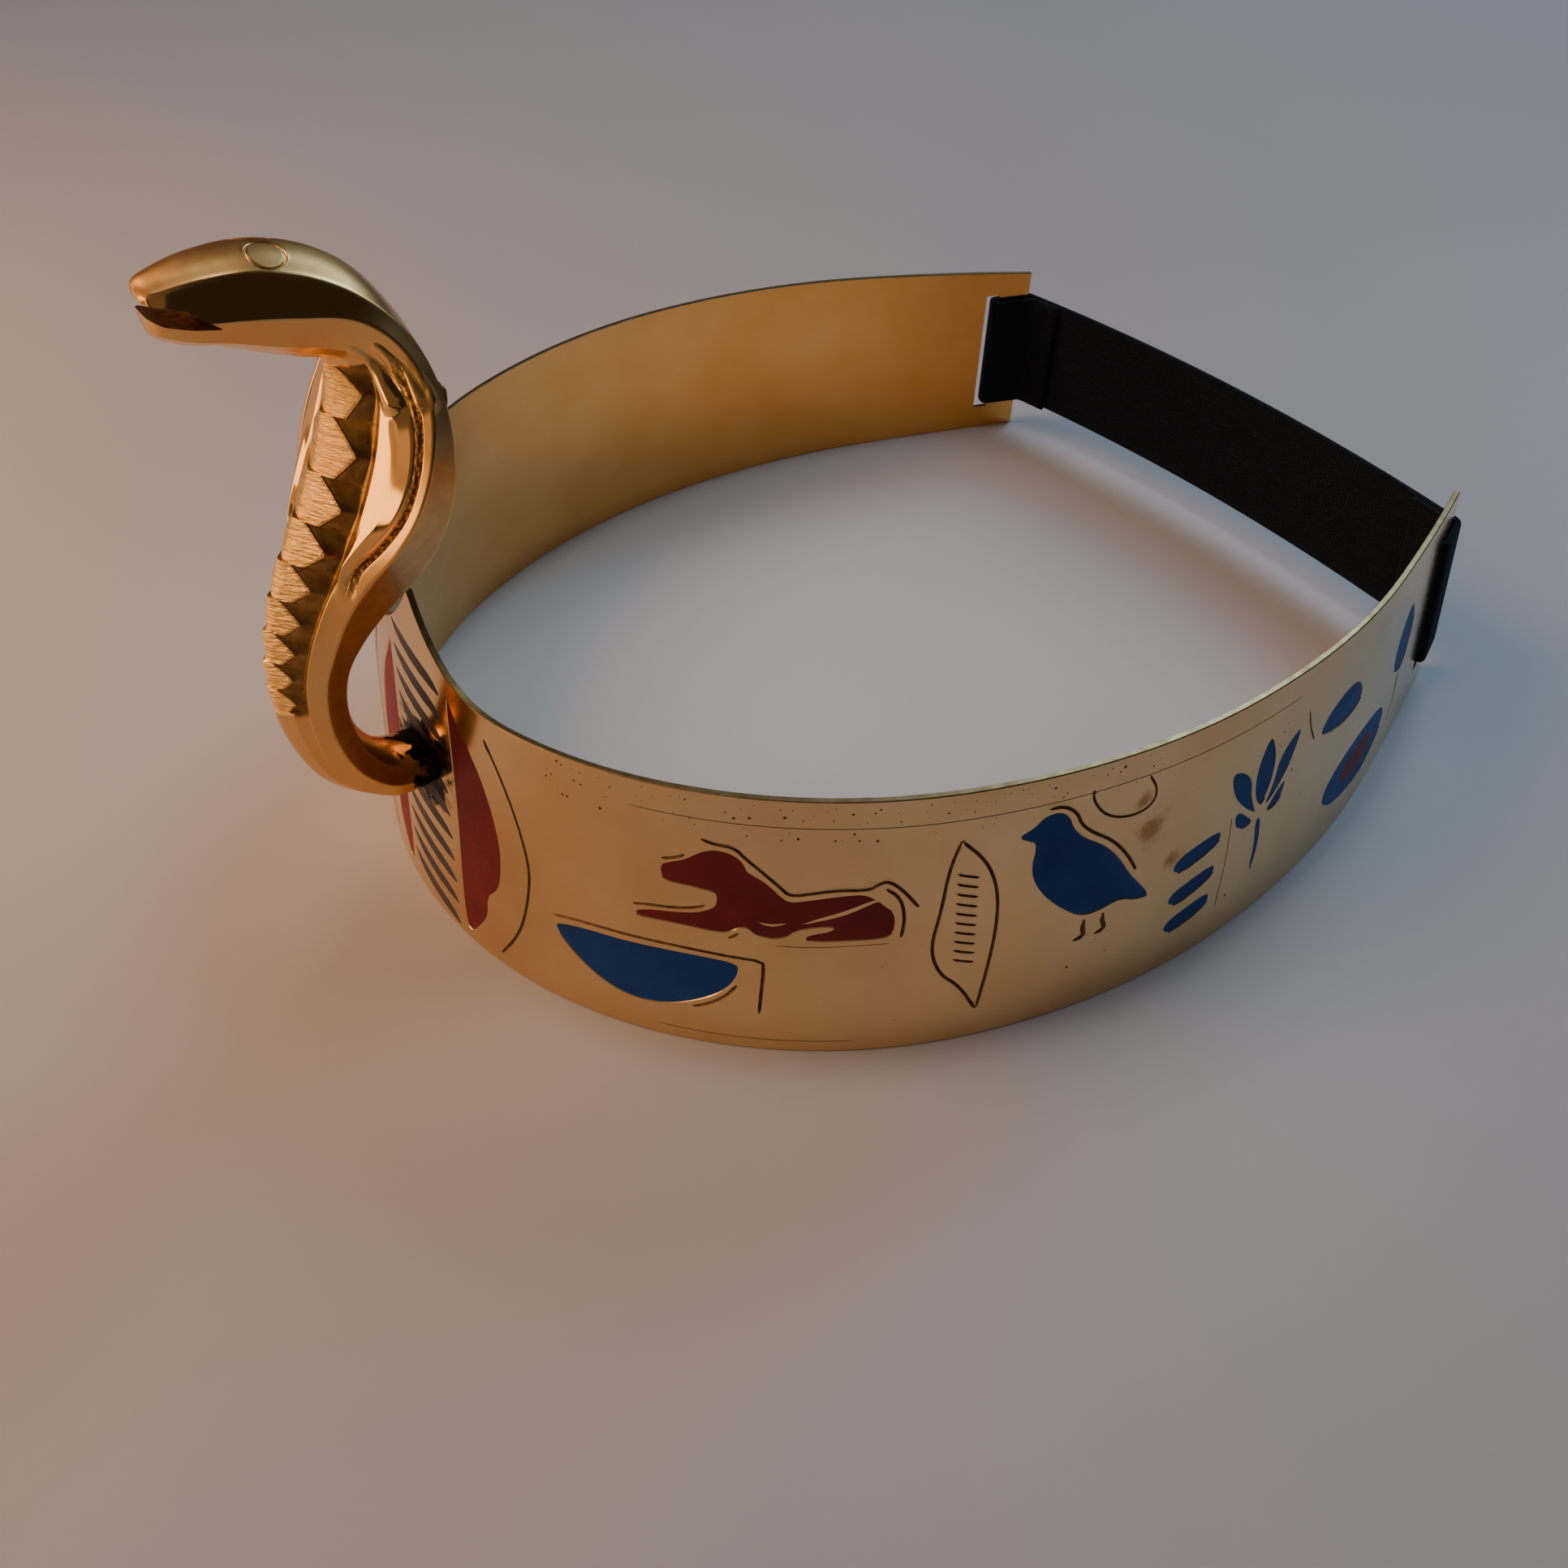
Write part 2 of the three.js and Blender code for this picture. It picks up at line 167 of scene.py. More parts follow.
# Finishes of the cobra, its darker valley and the painted shade on its sides and head top: where each begins
# and ends among those key points, and how sharply
FINISHES = ("filed", "punched", "polished", "valley_and_painted_shade")
SOFT_END = 4
SHARP_END = 8
TOP_END = 3
TOP_KEY = 2
CHEEK_KEYS = (2, 4.6)
SIDE_KEYS = (1.8, 4.1)
GROOVE_KEYS = (5.7, 7.6)
PETAL_KEYS = (7.8, 11.2)
VALLEY_KEYS = (10.1, 12.02)
SCALE_KEY = 11.9
SCALE_MARGIN = 0.02
# Painted shade: how much darker brown the body's sides and the head's top are coloured
SIDE_PAINTED_SHADE = 0.55
HEAD_PAINTED_SHADE = 0.55
HEAD_SATIN = 0.6
CORNER_SAMPLES = (0, 0.25, 0.5, 0.75, 1)
RUN_SAMPLES = (0.08, 0.29, 0.5, 0.71, 0.92)
MOUTH_SIDE = (
    (-20, 105.8), (-17.6, 105.2), (-16.2, 104.3), (-13.6, 103.5), (-10.8, 103.0),
    (-10.8, 103.2), (-12.4, 104.6), (-13.9, 105.6), (-15.8, 106.4), (-17.6, 106.8), (-20, 107.2),
)
MOUTH_HALF = 9
EYE_PLACE = (2.6, -3.4, 109.3)
EYE_RADIUS = 2.3
EYE_GROOVE = 0.22
EYE_POINTS = 40
# Folds at the sides of the neck: upper end, lower end and half width
NECK_FOLDS = (
    ((5.4, 3.0, 97.2), (9.2, 5.0, 91.0), 1.7),
    ((7.4, 5.2, 97.2), (11.3, 7.4, 91.2), 1.5),
)
FOLD_HEIGHT = 0.6
FOLD_REACH = 3.0
FOLD_ROOT = 0.45

# Camera, fitted to the band's edges
FOCAL = 1919 / 1932
AZIMUTH = math.radians(53.64)
ELEVATION = math.radians(43.12)
ROLL = math.radians(-0.30)
TRACK_X = -54.89
TRACK_Y = -18.78
DISTANCE = 247.44
SENSOR = 36.0
CLIP_NEAR = 0.01


def plan_at(s):
    """Outer lower edge of the band at distance s from the front centre, and its outward direction."""
    side = np.where(s < 0, -1.0, 1.0)
    left = np.abs(s)
    angle = np.zeros_like(left)
    x = np.zeros_like(left)
    y = np.zeros_like(left)
    for length, radius in SIDE_ARCS:
        run = np.minimum(left, length)
        ahead = angle + run / radius
        x = x + radius * (np.sin(ahead) - np.sin(angle))
        y = y + radius * (np.cos(angle) - np.cos(ahead))
        angle = ahead
        left = left - run
    return side * x, y, side * np.sin(angle), -np.cos(angle)


def on_band(s, z, inset):
    x, y, out_x, out_y = plan_at(s)
    pull = inset + LEAN * z
    return np.stack((x - out_x * pull, y - out_y * pull, z), axis=1)


def band_normal(s):
    _, _, out_x, out_y = plan_at(s)
    normal = np.stack((out_x, out_y, np.full_like(out_x, LEAN)), axis=1)
    return normal / np.linalg.norm(normal, axis=1, keepdims=True)


def height_at(s):
    share = np.abs(s) / HALF_LENGTH
    peak = np.maximum(0, 1 - np.abs(s) / PEAK_HALF)
    return SIDE_HEIGHT - END_DROP * share ** DROP_POWER + PEAK_RISE * peak ** PEAK_POWER


def to_frame(points):
    return (np.asarray(points, float) + (0, FRONT_Y, 0)) * MM


def from_frame(points):
    return np.array(points) / MM - (0, FRONT_Y, 0)


def turns(count):
    return np.linspace(0, 2 * math.pi, count + 1)[:-1]


def strip(a, b):
    """Quads between two closed rings of points."""
    ahead = [*range(1, len(a)), 0]
    return [(a[i], a[j], b[j], b[i]) for i, j in enumerate(ahead)]


def ring_faces(rings, count, closed=False):
    """Quads between rings of count points each, with a face at both ends unless the rings close."""
    rows = [[r * count + i for i in range(count)] for r in range(rings)]
    faces = [quad for a, b in zip(rows, rows[1:]) for quad in strip(a, b)]
    return faces + (strip(rows[-1], rows[0]) if closed else [rows[0][::-1], rows[-1]])


def add_piece(name, points, faces, looks, node="cobra_band", kinds=None):
    mesh = bpy.data.meshes.new(name)
    mesh.from_pydata(to_frame(points).tolist(), [], [list(map(int, f)) for f in faces])
    for look in looks:
        mesh.materials.append(look)
    if kinds is not None:
        mesh.polygons.foreach_set("material_index", kinds)
    mesh.polygons.foreach_set("use_smooth", [True] * len(mesh.polygons))
    piece = bpy.data.objects.new(name, mesh)
    bpy.context.scene.collection.objects.link(piece)
    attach(piece, "root")
    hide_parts(node)
    return piece


def face_outwards(piece):
    shape = bmesh.new()
    shape.from_mesh(piece.data)
    bmesh.ops.recalc_face_normals(shape, faces=shape.faces)
    shape.to_mesh(piece.data)
    shape.free()


# Flat drawing of the band's ornament

def quartered(a, b):
    """Points a quarter and three quarters of the way along each piece of a line."""
    return np.stack((0.75 * a + 0.25 * b, 0.25 * a + 0.75 * b), axis=1).reshape(-1, 2)


def smooth_closed(points, passes=2):
    points = np.array(points, float)
    for _ in range(passes):
        points = quartered(points, np.roll(points, -1, axis=0))
    return points


def smooth_open(points, passes=2):
    points = np.array(points, float)
    for _ in range(passes):
        points = np.vstack((points[:1], quartered(points[:-1], points[1:]), points[-1:]))
    return points


def thinned(points, closed):
    """The same line with no two points closer than the sample gap."""
    kept = [points[0]]
    for p in points[1:]:
        if np.hypot(*(p - kept[-1])) >= SAMPLE_GAP:
            kept.append(p)
    if closed and np.hypot(*(kept[-1] - kept[0])) < SAMPLE_GAP:
        kept.pop()
    return np.array(kept)


def unit(v):
    return v / np.maximum(np.linalg.norm(v, axis=-1, keepdims=True), TINY)


def left_of(direction):
    return np.stack((-direction[..., 1], direction[..., 0]), axis=-1)


def ribbon(path, across, start, stop):
    return np.vstack((start, (path - across)[1:-1], stop, (path + across)[1:-1][::-1]))


def inset_loop(points, amount):
    ahead = unit(np.roll(points, -1, axis=0) - points)
    behind = unit(points - np.roll(points, 1, axis=0))
    return points + amount * left_of(unit(ahead + behind))


def anticlockwise(points):
    ahead = np.roll(points, -1, axis=0)
    area = np.sum(points[:, 0] * ahead[:, 1] - points[:, 1] * ahead[:, 0])
    return points[::-1] if area < 0 else points


class Drawing:
    """Outlines and lines on the flat band, each point with how deep it is cut."""

    def __init__(self):
        self.points = []
        self.depths = []
        self.edges = []
        self.fields = []
        self.kinds = []

    def add(self, points, depth):
        first = len(self.points)
        self.points.extend(map(tuple, points))
        self.depths.extend([depth] * len(points))
        return list(range(first, len(self.points)))

    def loop(self, points, depth, kind=None):
        ids = self.add(anticlockwise(np.asarray(points, float)), depth)
        self.edges.extend(zip(ids, ids[1:] + ids[:1]))
        if kind:
            self.fields.append(ids)
            self.kinds.append(kind)
        return ids

    def line(self, points, depth):
        ids = self.add(points, depth)
        self.edges.extend(zip(ids[:-1], ids[1:]))

    def paint(self, outline, kind, passes=2, start=0):
        outline = anticlockwise(thinned(smooth_closed(outline, passes), True))
        self.loop(outline, start, kind)
        wall, depth = PAINT_STEP[kind]
        self.loop(inset_loop(outline, wall), depth)

    def cut(self, path, half=LINE_HALF, depth=LINE_DEPTH, passes=2, burr=BURR):
        """A line cut with a graver: full width along it, closing to a point at both ends."""
        path = thinned(smooth_open(path, passes), False)
        steps = np.linalg.norm(np.diff(path, axis=0), axis=1)
        along = np.concatenate(([0], np.cumsum(steps)))
        direction = unit(np.gradient(path, axis=0))
        near_end = np.minimum(along, along[-1] - along)
        width = half * np.clip(LINE_TIP + near_end / (LINE_TAPER * half), LINE_TIP, 1)
        side = left_of(direction)

        def outline(spread, tip):
            start, stop = path[:1] - tip * direction[:1], path[-1:] + tip * direction[-1:]
            return ribbon(path, side * (width + spread)[:, None], start, stop)

        if burr:
            self.loop(outline(burr, burr), 0, "burr")
        lips = self.loop(outline(0, 0), -BURR_RISE if burr else 0, "groove")
        for i in lips:
            if self.points[i] in (tuple(path[0]), tuple(path[-1])):
                self.depths[i] = 0
        if len(path) > 3:
            self.line(path[1:-1], depth)

    def scratch(self, path, half):
        """A place where the paint is scraped off, pointed at both ends."""
        path = thinned(smooth_open(path), False)
        side = left_of(unit(np.gradient(path, axis=0)))
        width = half * np.sin(np.linspace(0, np.pi, len(path)))[:, None]
        self.loop(ribbon(path, width * side, path[:1], path[-1:]), SCRIBE_DEPTH, "burr")

    def pit(self, s, z, radius):
        self.loop(oval(s, z, radius, radius, PIT_SIDES), 0, "groove")
        self.add([(s, z)], PIT_DEPTH)


MEDALLION = (
    (8.8, 47), (10.8, 43), (13.6, 39.4), (16.4, 34.6), (18.4, 28), (19, 23), (18.4, 17.6), (17.2, 14.4),
    (15, 12.2), (14.7, 8), (12.8, 4.8), (10.4, 1.6), (8.7, 2.6), (8.6, 12), (9.1, 24), (9, 36),
)
MEDALLION_LINE = (
    (17.4, 43.2), (20.8, 37.2), (23.4, 30.4), (24.8, 24), (24.4, 18.8), (22.8, 12), (20.8, 7.4), (17.4, 2.2),
)
STRIPE_LOW = 3.4
STRIPE_STEP = 4.4
STRIPE_COUNT = 11
STRIPE = ((-7.8, 3.0), (-6.6, 3.1), (0, 1.4), (5.4, -0.1), (7.6, -2.3), (6.6, -2.7), (0, -1.3), (-5.6, 0.6))
HALF_DISC = (
    (28.8, 15.4), (34, 16.7), (40, 17), (46, 17.3), (52, 17.3), (57, 16.9), (58, 15.6), (56.8, 12.4),
    (54.4, 10), (51, 8), (47.6, 6.6), (44, 6), (40.4, 6.2), (37, 7.4), (33.8, 9.4), (31, 11.8), (29.3, 13.8),
)
DISC_BRACKET = (
    (28.2, 16.8), (34, 18), (42, 18.4), (50, 18.5), (57, 18), (61.2, 17.7), (61.3, 16), (61, 12), (60.6, 7),
)
DISC_SHADE = ((57.5, 12.6), (56, 10.3), (53.6, 8.3), (50.6, 6.9))
LION = (
    (46.8, 33), (46.6, 31.8), (46.9, 30.5), (48.4, 30), (50.8, 30), (52.6, 29.7), (54.4, 29.6), (54.7, 28.4),
    (54.4, 26.8), (53.2, 26), (51.6, 25.3), (48.8, 24.8), (45.8, 24.4), (43.6, 23.9), (42.4, 23.1),
    (43, 22.4), (45.8, 22.6), (49.6, 22.6), (52.4, 22.4), (55.2, 22.2), (56.6, 22.6), (58, 23.6),
    (59, 23.7), (60.4, 22.4), (62.6, 21.9), (64.8, 22.5), (66, 23.8), (69, 24.4), (71.4, 24.4), (70.6, 23.6),
    (67.6, 23), (66.8, 22), (69, 21.7), (72.6, 21.8), (77.2, 21.8), (79.4, 22.3), (79.9, 24.8), (79.4, 26.8),
    (78.4, 27.6), (77, 29.2), (75.2, 30.2), (73.2, 30.2), (70.2, 29.8), (67.6, 29.3), (64.8, 28.8),
    (63.4, 30.2), (61.8, 32), (60.2, 33.1), (59, 33.8), (58.7, 35), (57.8, 36.1), (56.4, 36.8), (54.6, 37),
    (52.8, 36.4), (51.4, 35.4), (50.2, 34.5), (48.4, 33.8),
)
LION_BACK = (
    (52.6, 38.6), (54.6, 38), (57.4, 37.8), (58.8, 36.2), (61, 34.2), (63.6, 31.6), (65, 30), (68, 30.6),
    (71.6, 31.2), (76, 31), (77.2, 32), (78.6, 32.4), (80.6, 30.6), (83.2, 26.8),
)
LION_TAIL = ((78.2, 31), (79.8, 29.8), (80.7, 27.8), (81, 24.8), (80.5, 21.6))
LION_SNOUT = ((46.8, 34.1), (48.6, 34.5), (50.4, 35.4))
LION_PAW = ((42.2, 24.6), (44.6, 25.2), (48.8, 25.6), (52, 26.4), (53.2, 27))
LION_FOOT = ((56.2, 21.4), (57.2, 22), (58, 22.8))
# Scraped places with their half width
LION_SCRAPES = (
    (((66.6, 24.9), (69.4, 25.9), (72.6, 26.9), (76, 28.6), (78.4, 29.4)), 0.34),
    (((60.6, 24.9), (62.4, 24.4), (64.6, 25)), 0.22),
)
GROUND = ((63, 20.8), (68, 20.7), (74, 20.9), (79, 21))
FROND_RIGHT = ((88.6, 37.8), (92.4, 33.6), (94.4, 28), (94.6, 21), (93.6, 13), (92.2, 5.4))
FROND_LEFT = ((88.6, 37.8), (87, 33), (86.2, 26), (84.8, 19), (86.4, 13.8), (89.4, 11), (92.2, 5.4))
FROND_RUNG = ((-2.0, 0.7), (-0.6, 0.1), (1.4, -0.6))
FROND_RUNGS = 10
FROND_RUNG_LOW = (90.2, 15.6)
FROND_RUNG_STEP = 1.75
BIRD = (
    (96.6, 36.2), (99.4, 37.4), (100.6, 38.8), (103, 39), (104.8, 37.6), (105.6, 35.2), (107.6, 32.8),
    (111, 30.4), (114, 26.8), (116.4, 22.4), (120.8, 16.8), (117.6, 17.2), (114.6, 18.8), (111.4, 18),
    (108.6, 18), (105.4, 20), (102, 23.6), (99.8, 27.2), (99.2, 30.6), (99.8, 33.6), (99, 35),
)
BIRD_BACK = (
    (101.2, 39.9), (103.6, 39.8), (105.7, 38), (106.6, 35.6), (108.8, 33.4), (112, 31), (115, 27.2),
    (117.2, 23),
)
BIRD_LEGS = (
    ((108.8, 17.4), (108.5, 15.8), (109, 14.2), (107, 13.8)),
    ((112, 17.4), (111.8, 15.8), (112.6, 14.2), (110.6, 13.7)),
)
CURL = ((117.4, 40.2), (119.3, 36.8), (118.2, 34.3), (114.4, 34), (110.4, 35.8), (108, 39.4), (108.2, 41))
BARS = (
    ((124.4, 19.2), (126, 18), (132.6, 19.4), (134.4, 20.8), (133.6, 22.6), (127, 21.9), (124.9, 20.8)),
    ((124.2, 12.9), (126, 11.6), (132.4, 13.2), (134, 14.6), (133.2, 16.3), (126.6, 15.3), (124.6, 14.4)),
    ((124, 7.4), (125.8, 6.2), (132, 7.6), (133.7, 9), (132.9, 10.8), (126.4, 9.8), (124.4, 8.9)),
)
BAR_LINE = ((136, 23.6), (136.2, 15), (135.2, 6.4))
LOTUS_MIDDLE = 143
LOTUS_PETAL = ((143, 21), (140.6, 26), (140.8, 31), (143, 35.6), (145.2, 31), (145.4, 26))
LOTUS_SIDE_PETALS = (
    ((142.4, 20.6), (138.4, 24), (135.6, 28), (134.4, 32.6), (138, 31), (140, 28.4), (140.4, 25)),
    ((141.6, 19.9), (139.8, 19.4), (138, 20), (136.9, 22), (137, 23.8), (138.6, 23), (140.2, 21.4)),
)
LOTUS_STEM = ((142.2, 19.6), (143.8, 19.6), (144.4, 14), (143.6, 9.4), (142.6, 9.4), (143, 14))
LOTUS_LINE = ((152.6, 34.4), (153.8, 30.6), (156, 26.8))
HALF_LEAF = ((157.6, 25.8), (159, 29.2), (164.8, 31.2), (170.4, 30.2), (173.4, 25.4), (167.8, 23.8))
OVAL = (176.5, 10.4, 13.0, 5.6)
OVAL_HEART = (176.5, 10.4, 6.8, 2.7)
BUD = (
    (193.6, 16), (190.6, 19), (190, 23), (192, 27.4), (195, 30), (198, 27.4), (200, 23), (199.4, 19),
    (196.4, 16),
)
BUD_STEM = ((194.2, 15.6), (195.8, 15.6), (196.4, 11), (194.6, 5.6), (193.4, 5.8), (195, 11))
BORDER_DROP = 4.4
BORDER_TOP = (42, 152)
BORDER_LOW = (45, 77)
BORDER_LOW_Z = 2.1
BORDER_STEP = 2.0
THIN_LINE = 0.8 * LINE_HALF
FAINT_LINE = 0.7 * LINE_HALF
THICK_LINE = 1.5 * LINE_HALF
THICK_SCRIBE = 1.5 * SCRIBE_HALF
# Pits along the upper edge, then loose ones, then the size of both
PIT_SEED = 11
PIT_COUNT = 150
PIT_REACH = (28, 120)
PIT_DROP = (1.0, 6.5)
PIT_CROWD = 1.5
LOOSE_PITS = 60
LOOSE_REACH = (26, 200)
LOOSE_LOW = 4
LOOSE_DROP = 3
PIT_SMALL = 0.09
PIT_SPREAD = 0.19
PIT_RARE = 3


def oval(middle_s, middle_z, half_s, half_z, count=36):
    turn = turns(count)
    return np.stack((middle_s + half_s * np.cos(turn), middle_z + half_z * np.sin(turn)), axis=1)


def mirrored(points):
    return np.array(points, float) * (-1, 1)


def draw_side(drawing, place):
    """Everything on one side of the band. place turns right-hand points into that side's points."""

    def paint(outline, kind, **how):
        drawing.paint(place(outline), kind, **how)

    def cut(path, *how, **more):
        drawing.cut(place(path), *how, **more)

    def scribe(path, half=SCRIBE_HALF, passes=2):
        drawing.cut(place(path), half, SCRIBE_DEPTH, passes, 0)

    def border(reach, height):
        along = np.arange(*reach, BORDER_STEP)
        scribe(np.stack((along, height(along)), axis=1), passes=0)

    paint(MEDALLION, "red")
    cut(MEDALLION_LINE)
    paint(HALF_DISC, "blue")
    cut(DISC_BRACKET, passes=1)
    cut(DISC_SHADE)
    paint(LION, "red")
    for path in (LION_BACK, LION_TAIL, LION_SNOUT, LION_PAW, LION_FOOT):
        cut(path)
    for path, half in LION_SCRAPES:
        drawing.scratch(place(path), half)
    scribe(GROUND)
    cut(FROND_RIGHT)
    cut(FROND_LEFT)
    for i in range(FROND_RUNGS):
        cut(np.array(FROND_RUNG) + FROND_RUNG_LOW + (0, FROND_RUNG_STEP * i), THIN_LINE)
    paint(BIRD, "blue")
    cut(BIRD_BACK)
    for path in BIRD_LEGS:
        cut(path, THICK_LINE)
    cut(CURL, THIN_LINE)
    for bar in BARS:
        paint(bar, "blue", passes=1)
    scribe(BAR_LINE, THICK_SCRIBE)
    paint(LOTUS_PETAL, "blue")
    for petal in LOTUS_SIDE_PETALS:
        paint(petal, "blue")
        paint(mirrored(petal) + (2 * LOTUS_MIDDLE, 0), "blue")
    paint(LOTUS_STEM, "blue", passes=1)
    cut(LOTUS_LINE, FAINT_LINE)
    paint(HALF_LEAF, "blue")
    paint(oval(*OVAL), "blue", passes=0)
    paint(oval(*OVAL_HEART), "red", passes=0, start=PAINT_STEP["blue"][1])
    paint(BUD, "blue")
    paint(BUD_STEM, "blue", passes=1)
    border(BORDER_TOP, lambda along: height_at(along) - BORDER_DROP)
    border(BORDER_LOW, lambda along: np.full_like(along, BORDER_LOW_Z))


def draw_band():
    drawing = Drawing()
    for side in (-1, 1):
        s0, s1, z0, z1 = SLOT
        drawing.loop(np.array(((s0, z0), (s1, z0), (s1, z1), (s0, z1))) * (side, 1), 0, "slot")
    draw_side(drawing, np.array)
    draw_side(drawing, mirrored)
    for i in range(STRIPE_COUNT):
        drawing.paint(np.array(STRIPE) + (0, STRIPE_LOW + STRIPE_STEP * i), "slate", passes=1)
    return drawing


def is_inside(point, outline):
    """Whether a flat point lies inside a closed outline."""
    a = np.asarray(outline, float)
    b = np.roll(a, -1, axis=0)
    spans = (a[:, 1] > point[1]) != (b[:, 1] > point[1])
    a, b = a[spans], b[spans]
    crossing = a[:, 0] + (point[1] - a[:, 1]) / (b[:, 1] - a[:, 1]) * (b[:, 0] - a[:, 0])
    return int(np.sum(crossing > point[0])) % 2 == 1


def add_pits(drawing):
    """Small pits, most of them near the upper edge, where nothing else is drawn."""
    taken = np.array(drawing.points)
    painted = [taken[ids] for ids, kind in zip(drawing.fields, drawing.kinds) if kind in PAINT_STEP]
    dice = random.Random(PIT_SEED)
    drop0, drop1 = PIT_DROP
    for i in range(2 * (PIT_COUNT + LOOSE_PITS)):
        loose = i >= 2 * PIT_COUNT
        s = dice.uniform(*(LOOSE_REACH if loose else PIT_REACH)) * (1 if i % 2 else -1)
        top = float(height_at(np.array(s)))
        if loose:
            z = dice.uniform(LOOSE_LOW, top - LOOSE_DROP)
        else:
            z = top - drop0 - (drop1 - drop0) * dice.random() ** PIT_CROWD
        radius = PIT_SMALL + PIT_SPREAD * dice.random() ** PIT_RARE
        clear = np.min(np.hypot(*(taken - (s, z)).T)) > PLATE_CLEAR
        if clear and not any(is_inside((s, z), outline) for outline in painted):
            drawing.pit(s, z, radius)
            taken = np.vstack((taken, [(s, z)]))


def band_outline():
    """The skin's boundary, a chamfer inside the sheet's edge, and the edge itself, point for point."""
    reach = HALF_LENGTH - CHAMFER
    along = np.linspace(-reach, reach, STATIONS)
    share = np.linspace(0, 1, END_ROWS)[1:-1, None]

    def outline(stretch, inset):
        low = np.stack((along * stretch, np.full_like(along, inset)), axis=1)
        high = np.stack((along * stretch, height_at(along) - inset), axis=1)
        end = low[-1] + share * (high[-1] - low[-1])
        return np.vstack((low, end, high[::-1], mirrored(end)[::-1]))

    return outline(1, CHAMFER), outline(HALF_LENGTH / reach, 0)


def triangulated(drawing, outline):
    """Triangles of the flat band, with each point's cut depth and each triangle's kind."""
    rim = drawing.loop(outline, 0, "plate")
    drawn = len(drawing.points)
    taken = np.array(drawing.points)
    reach = HALF_LENGTH - PLATE_END
    for s in np.linspace(-reach, reach, STATIONS - 3):
        top = float(height_at(np.array(s)))
        for z in np.linspace(0, top, PLATE_ROWS)[1:-1]:
            if np.min(np.abs(taken - (s, z)).max(axis=1)) > PLATE_CLEAR:
                drawing.add([(s, z)], 0)
    flat = [Vector(p) for p in drawing.points]
    got = delaunay_2d_cdt(flat, drawing.edges, drawing.fields, 1, SAME_POINT, True)
    points = np.array([tuple(p) for p in got[0]])
    faces = [list(f) for f in got[2]]
    depth = np.array([max((drawing.depths[k] for k in ids), default=0.0, key=abs) for ids in got[3]])
    place_of = {k: i for i, ids in enumerate(got[3]) for k in ids}
    boundary = len(drawing.fields) - 1
    kinds = []
    for ids in got[5]:
        inside = [k for k in ids if k != boundary]
        plain = "plate" if boundary in ids else "outside"
        kinds.append(drawing.kinds[max(inside)] if inside else plain)
    for face, kind in zip(faces, kinds):
        if kind in PAINT_STEP:
            for i in face:
                if got[3][i] and min(got[3][i]) >= drawn:
                    depth[i] = PAINT_STEP[kind][1]
    return points, faces, depth, kinds, [place_of[k] for k in rim], place_of


class Skin:
    """Triangles and quads being gathered into one piece, with their own normals and flat coordinates."""

    def __init__(self):
        self.points = []
        self.flat = []
        self.faces = []
        self.kinds = []
        self.sides = []

    def add_points(self, flat, inset):
        first = sum(len(p) for p in self.points)
        flat = np.asarray(flat, float)
        self.points.append(on_band(flat[:, 0], flat[:, 1], inset))
        self.flat.append(flat)
        return first

    def add_faces(self, faces, kind, side):
        self.faces.extend(faces)
        self.kinds.extend([kind] * len(faces))
        self.sides.extend([side] * len(faces))

    def build(self, name, looks, slot):
        points = np.vstack(self.points)
        flat = np.vstack(self.flat)
        used = sorted({i for f in self.faces for i in f})
        renamed = {old: new for new, old in enumerate(used)}
        faces = [[renamed[i] for i in f] for f in self.faces]
        points, flat = points[used], flat[used]
        piece = add_piece(name, points, faces, looks, kinds=self.kinds)
        mesh = piece.data
        corner = np.array([i for f in faces for i in f])
        uv = mesh.uv_layers.new(name="band")
        uv.data.foreach_set("uv", (flat[corner] / MM_PER_UV).ravel())
        smooth = band_normal(flat[:, 0])
        normals = []
        for polygon, side in zip(mesh.polygons, self.sides):
            if side:
                normals.extend(smooth[i] * side for i in faces[polygon.index])
            else:
                normals.extend([np.array(polygon.normal)] * len(faces[polygon.index]))
        mesh.normals_split_custom_set([tuple(n) for n in normals])


# Materials of the band's own piece, and which way a face's normals are set
PLATE, ENGRAVED, EDGE, INSIDE = range(4)
OUTWARD, FLAT, INWARD = 1, 0, -1


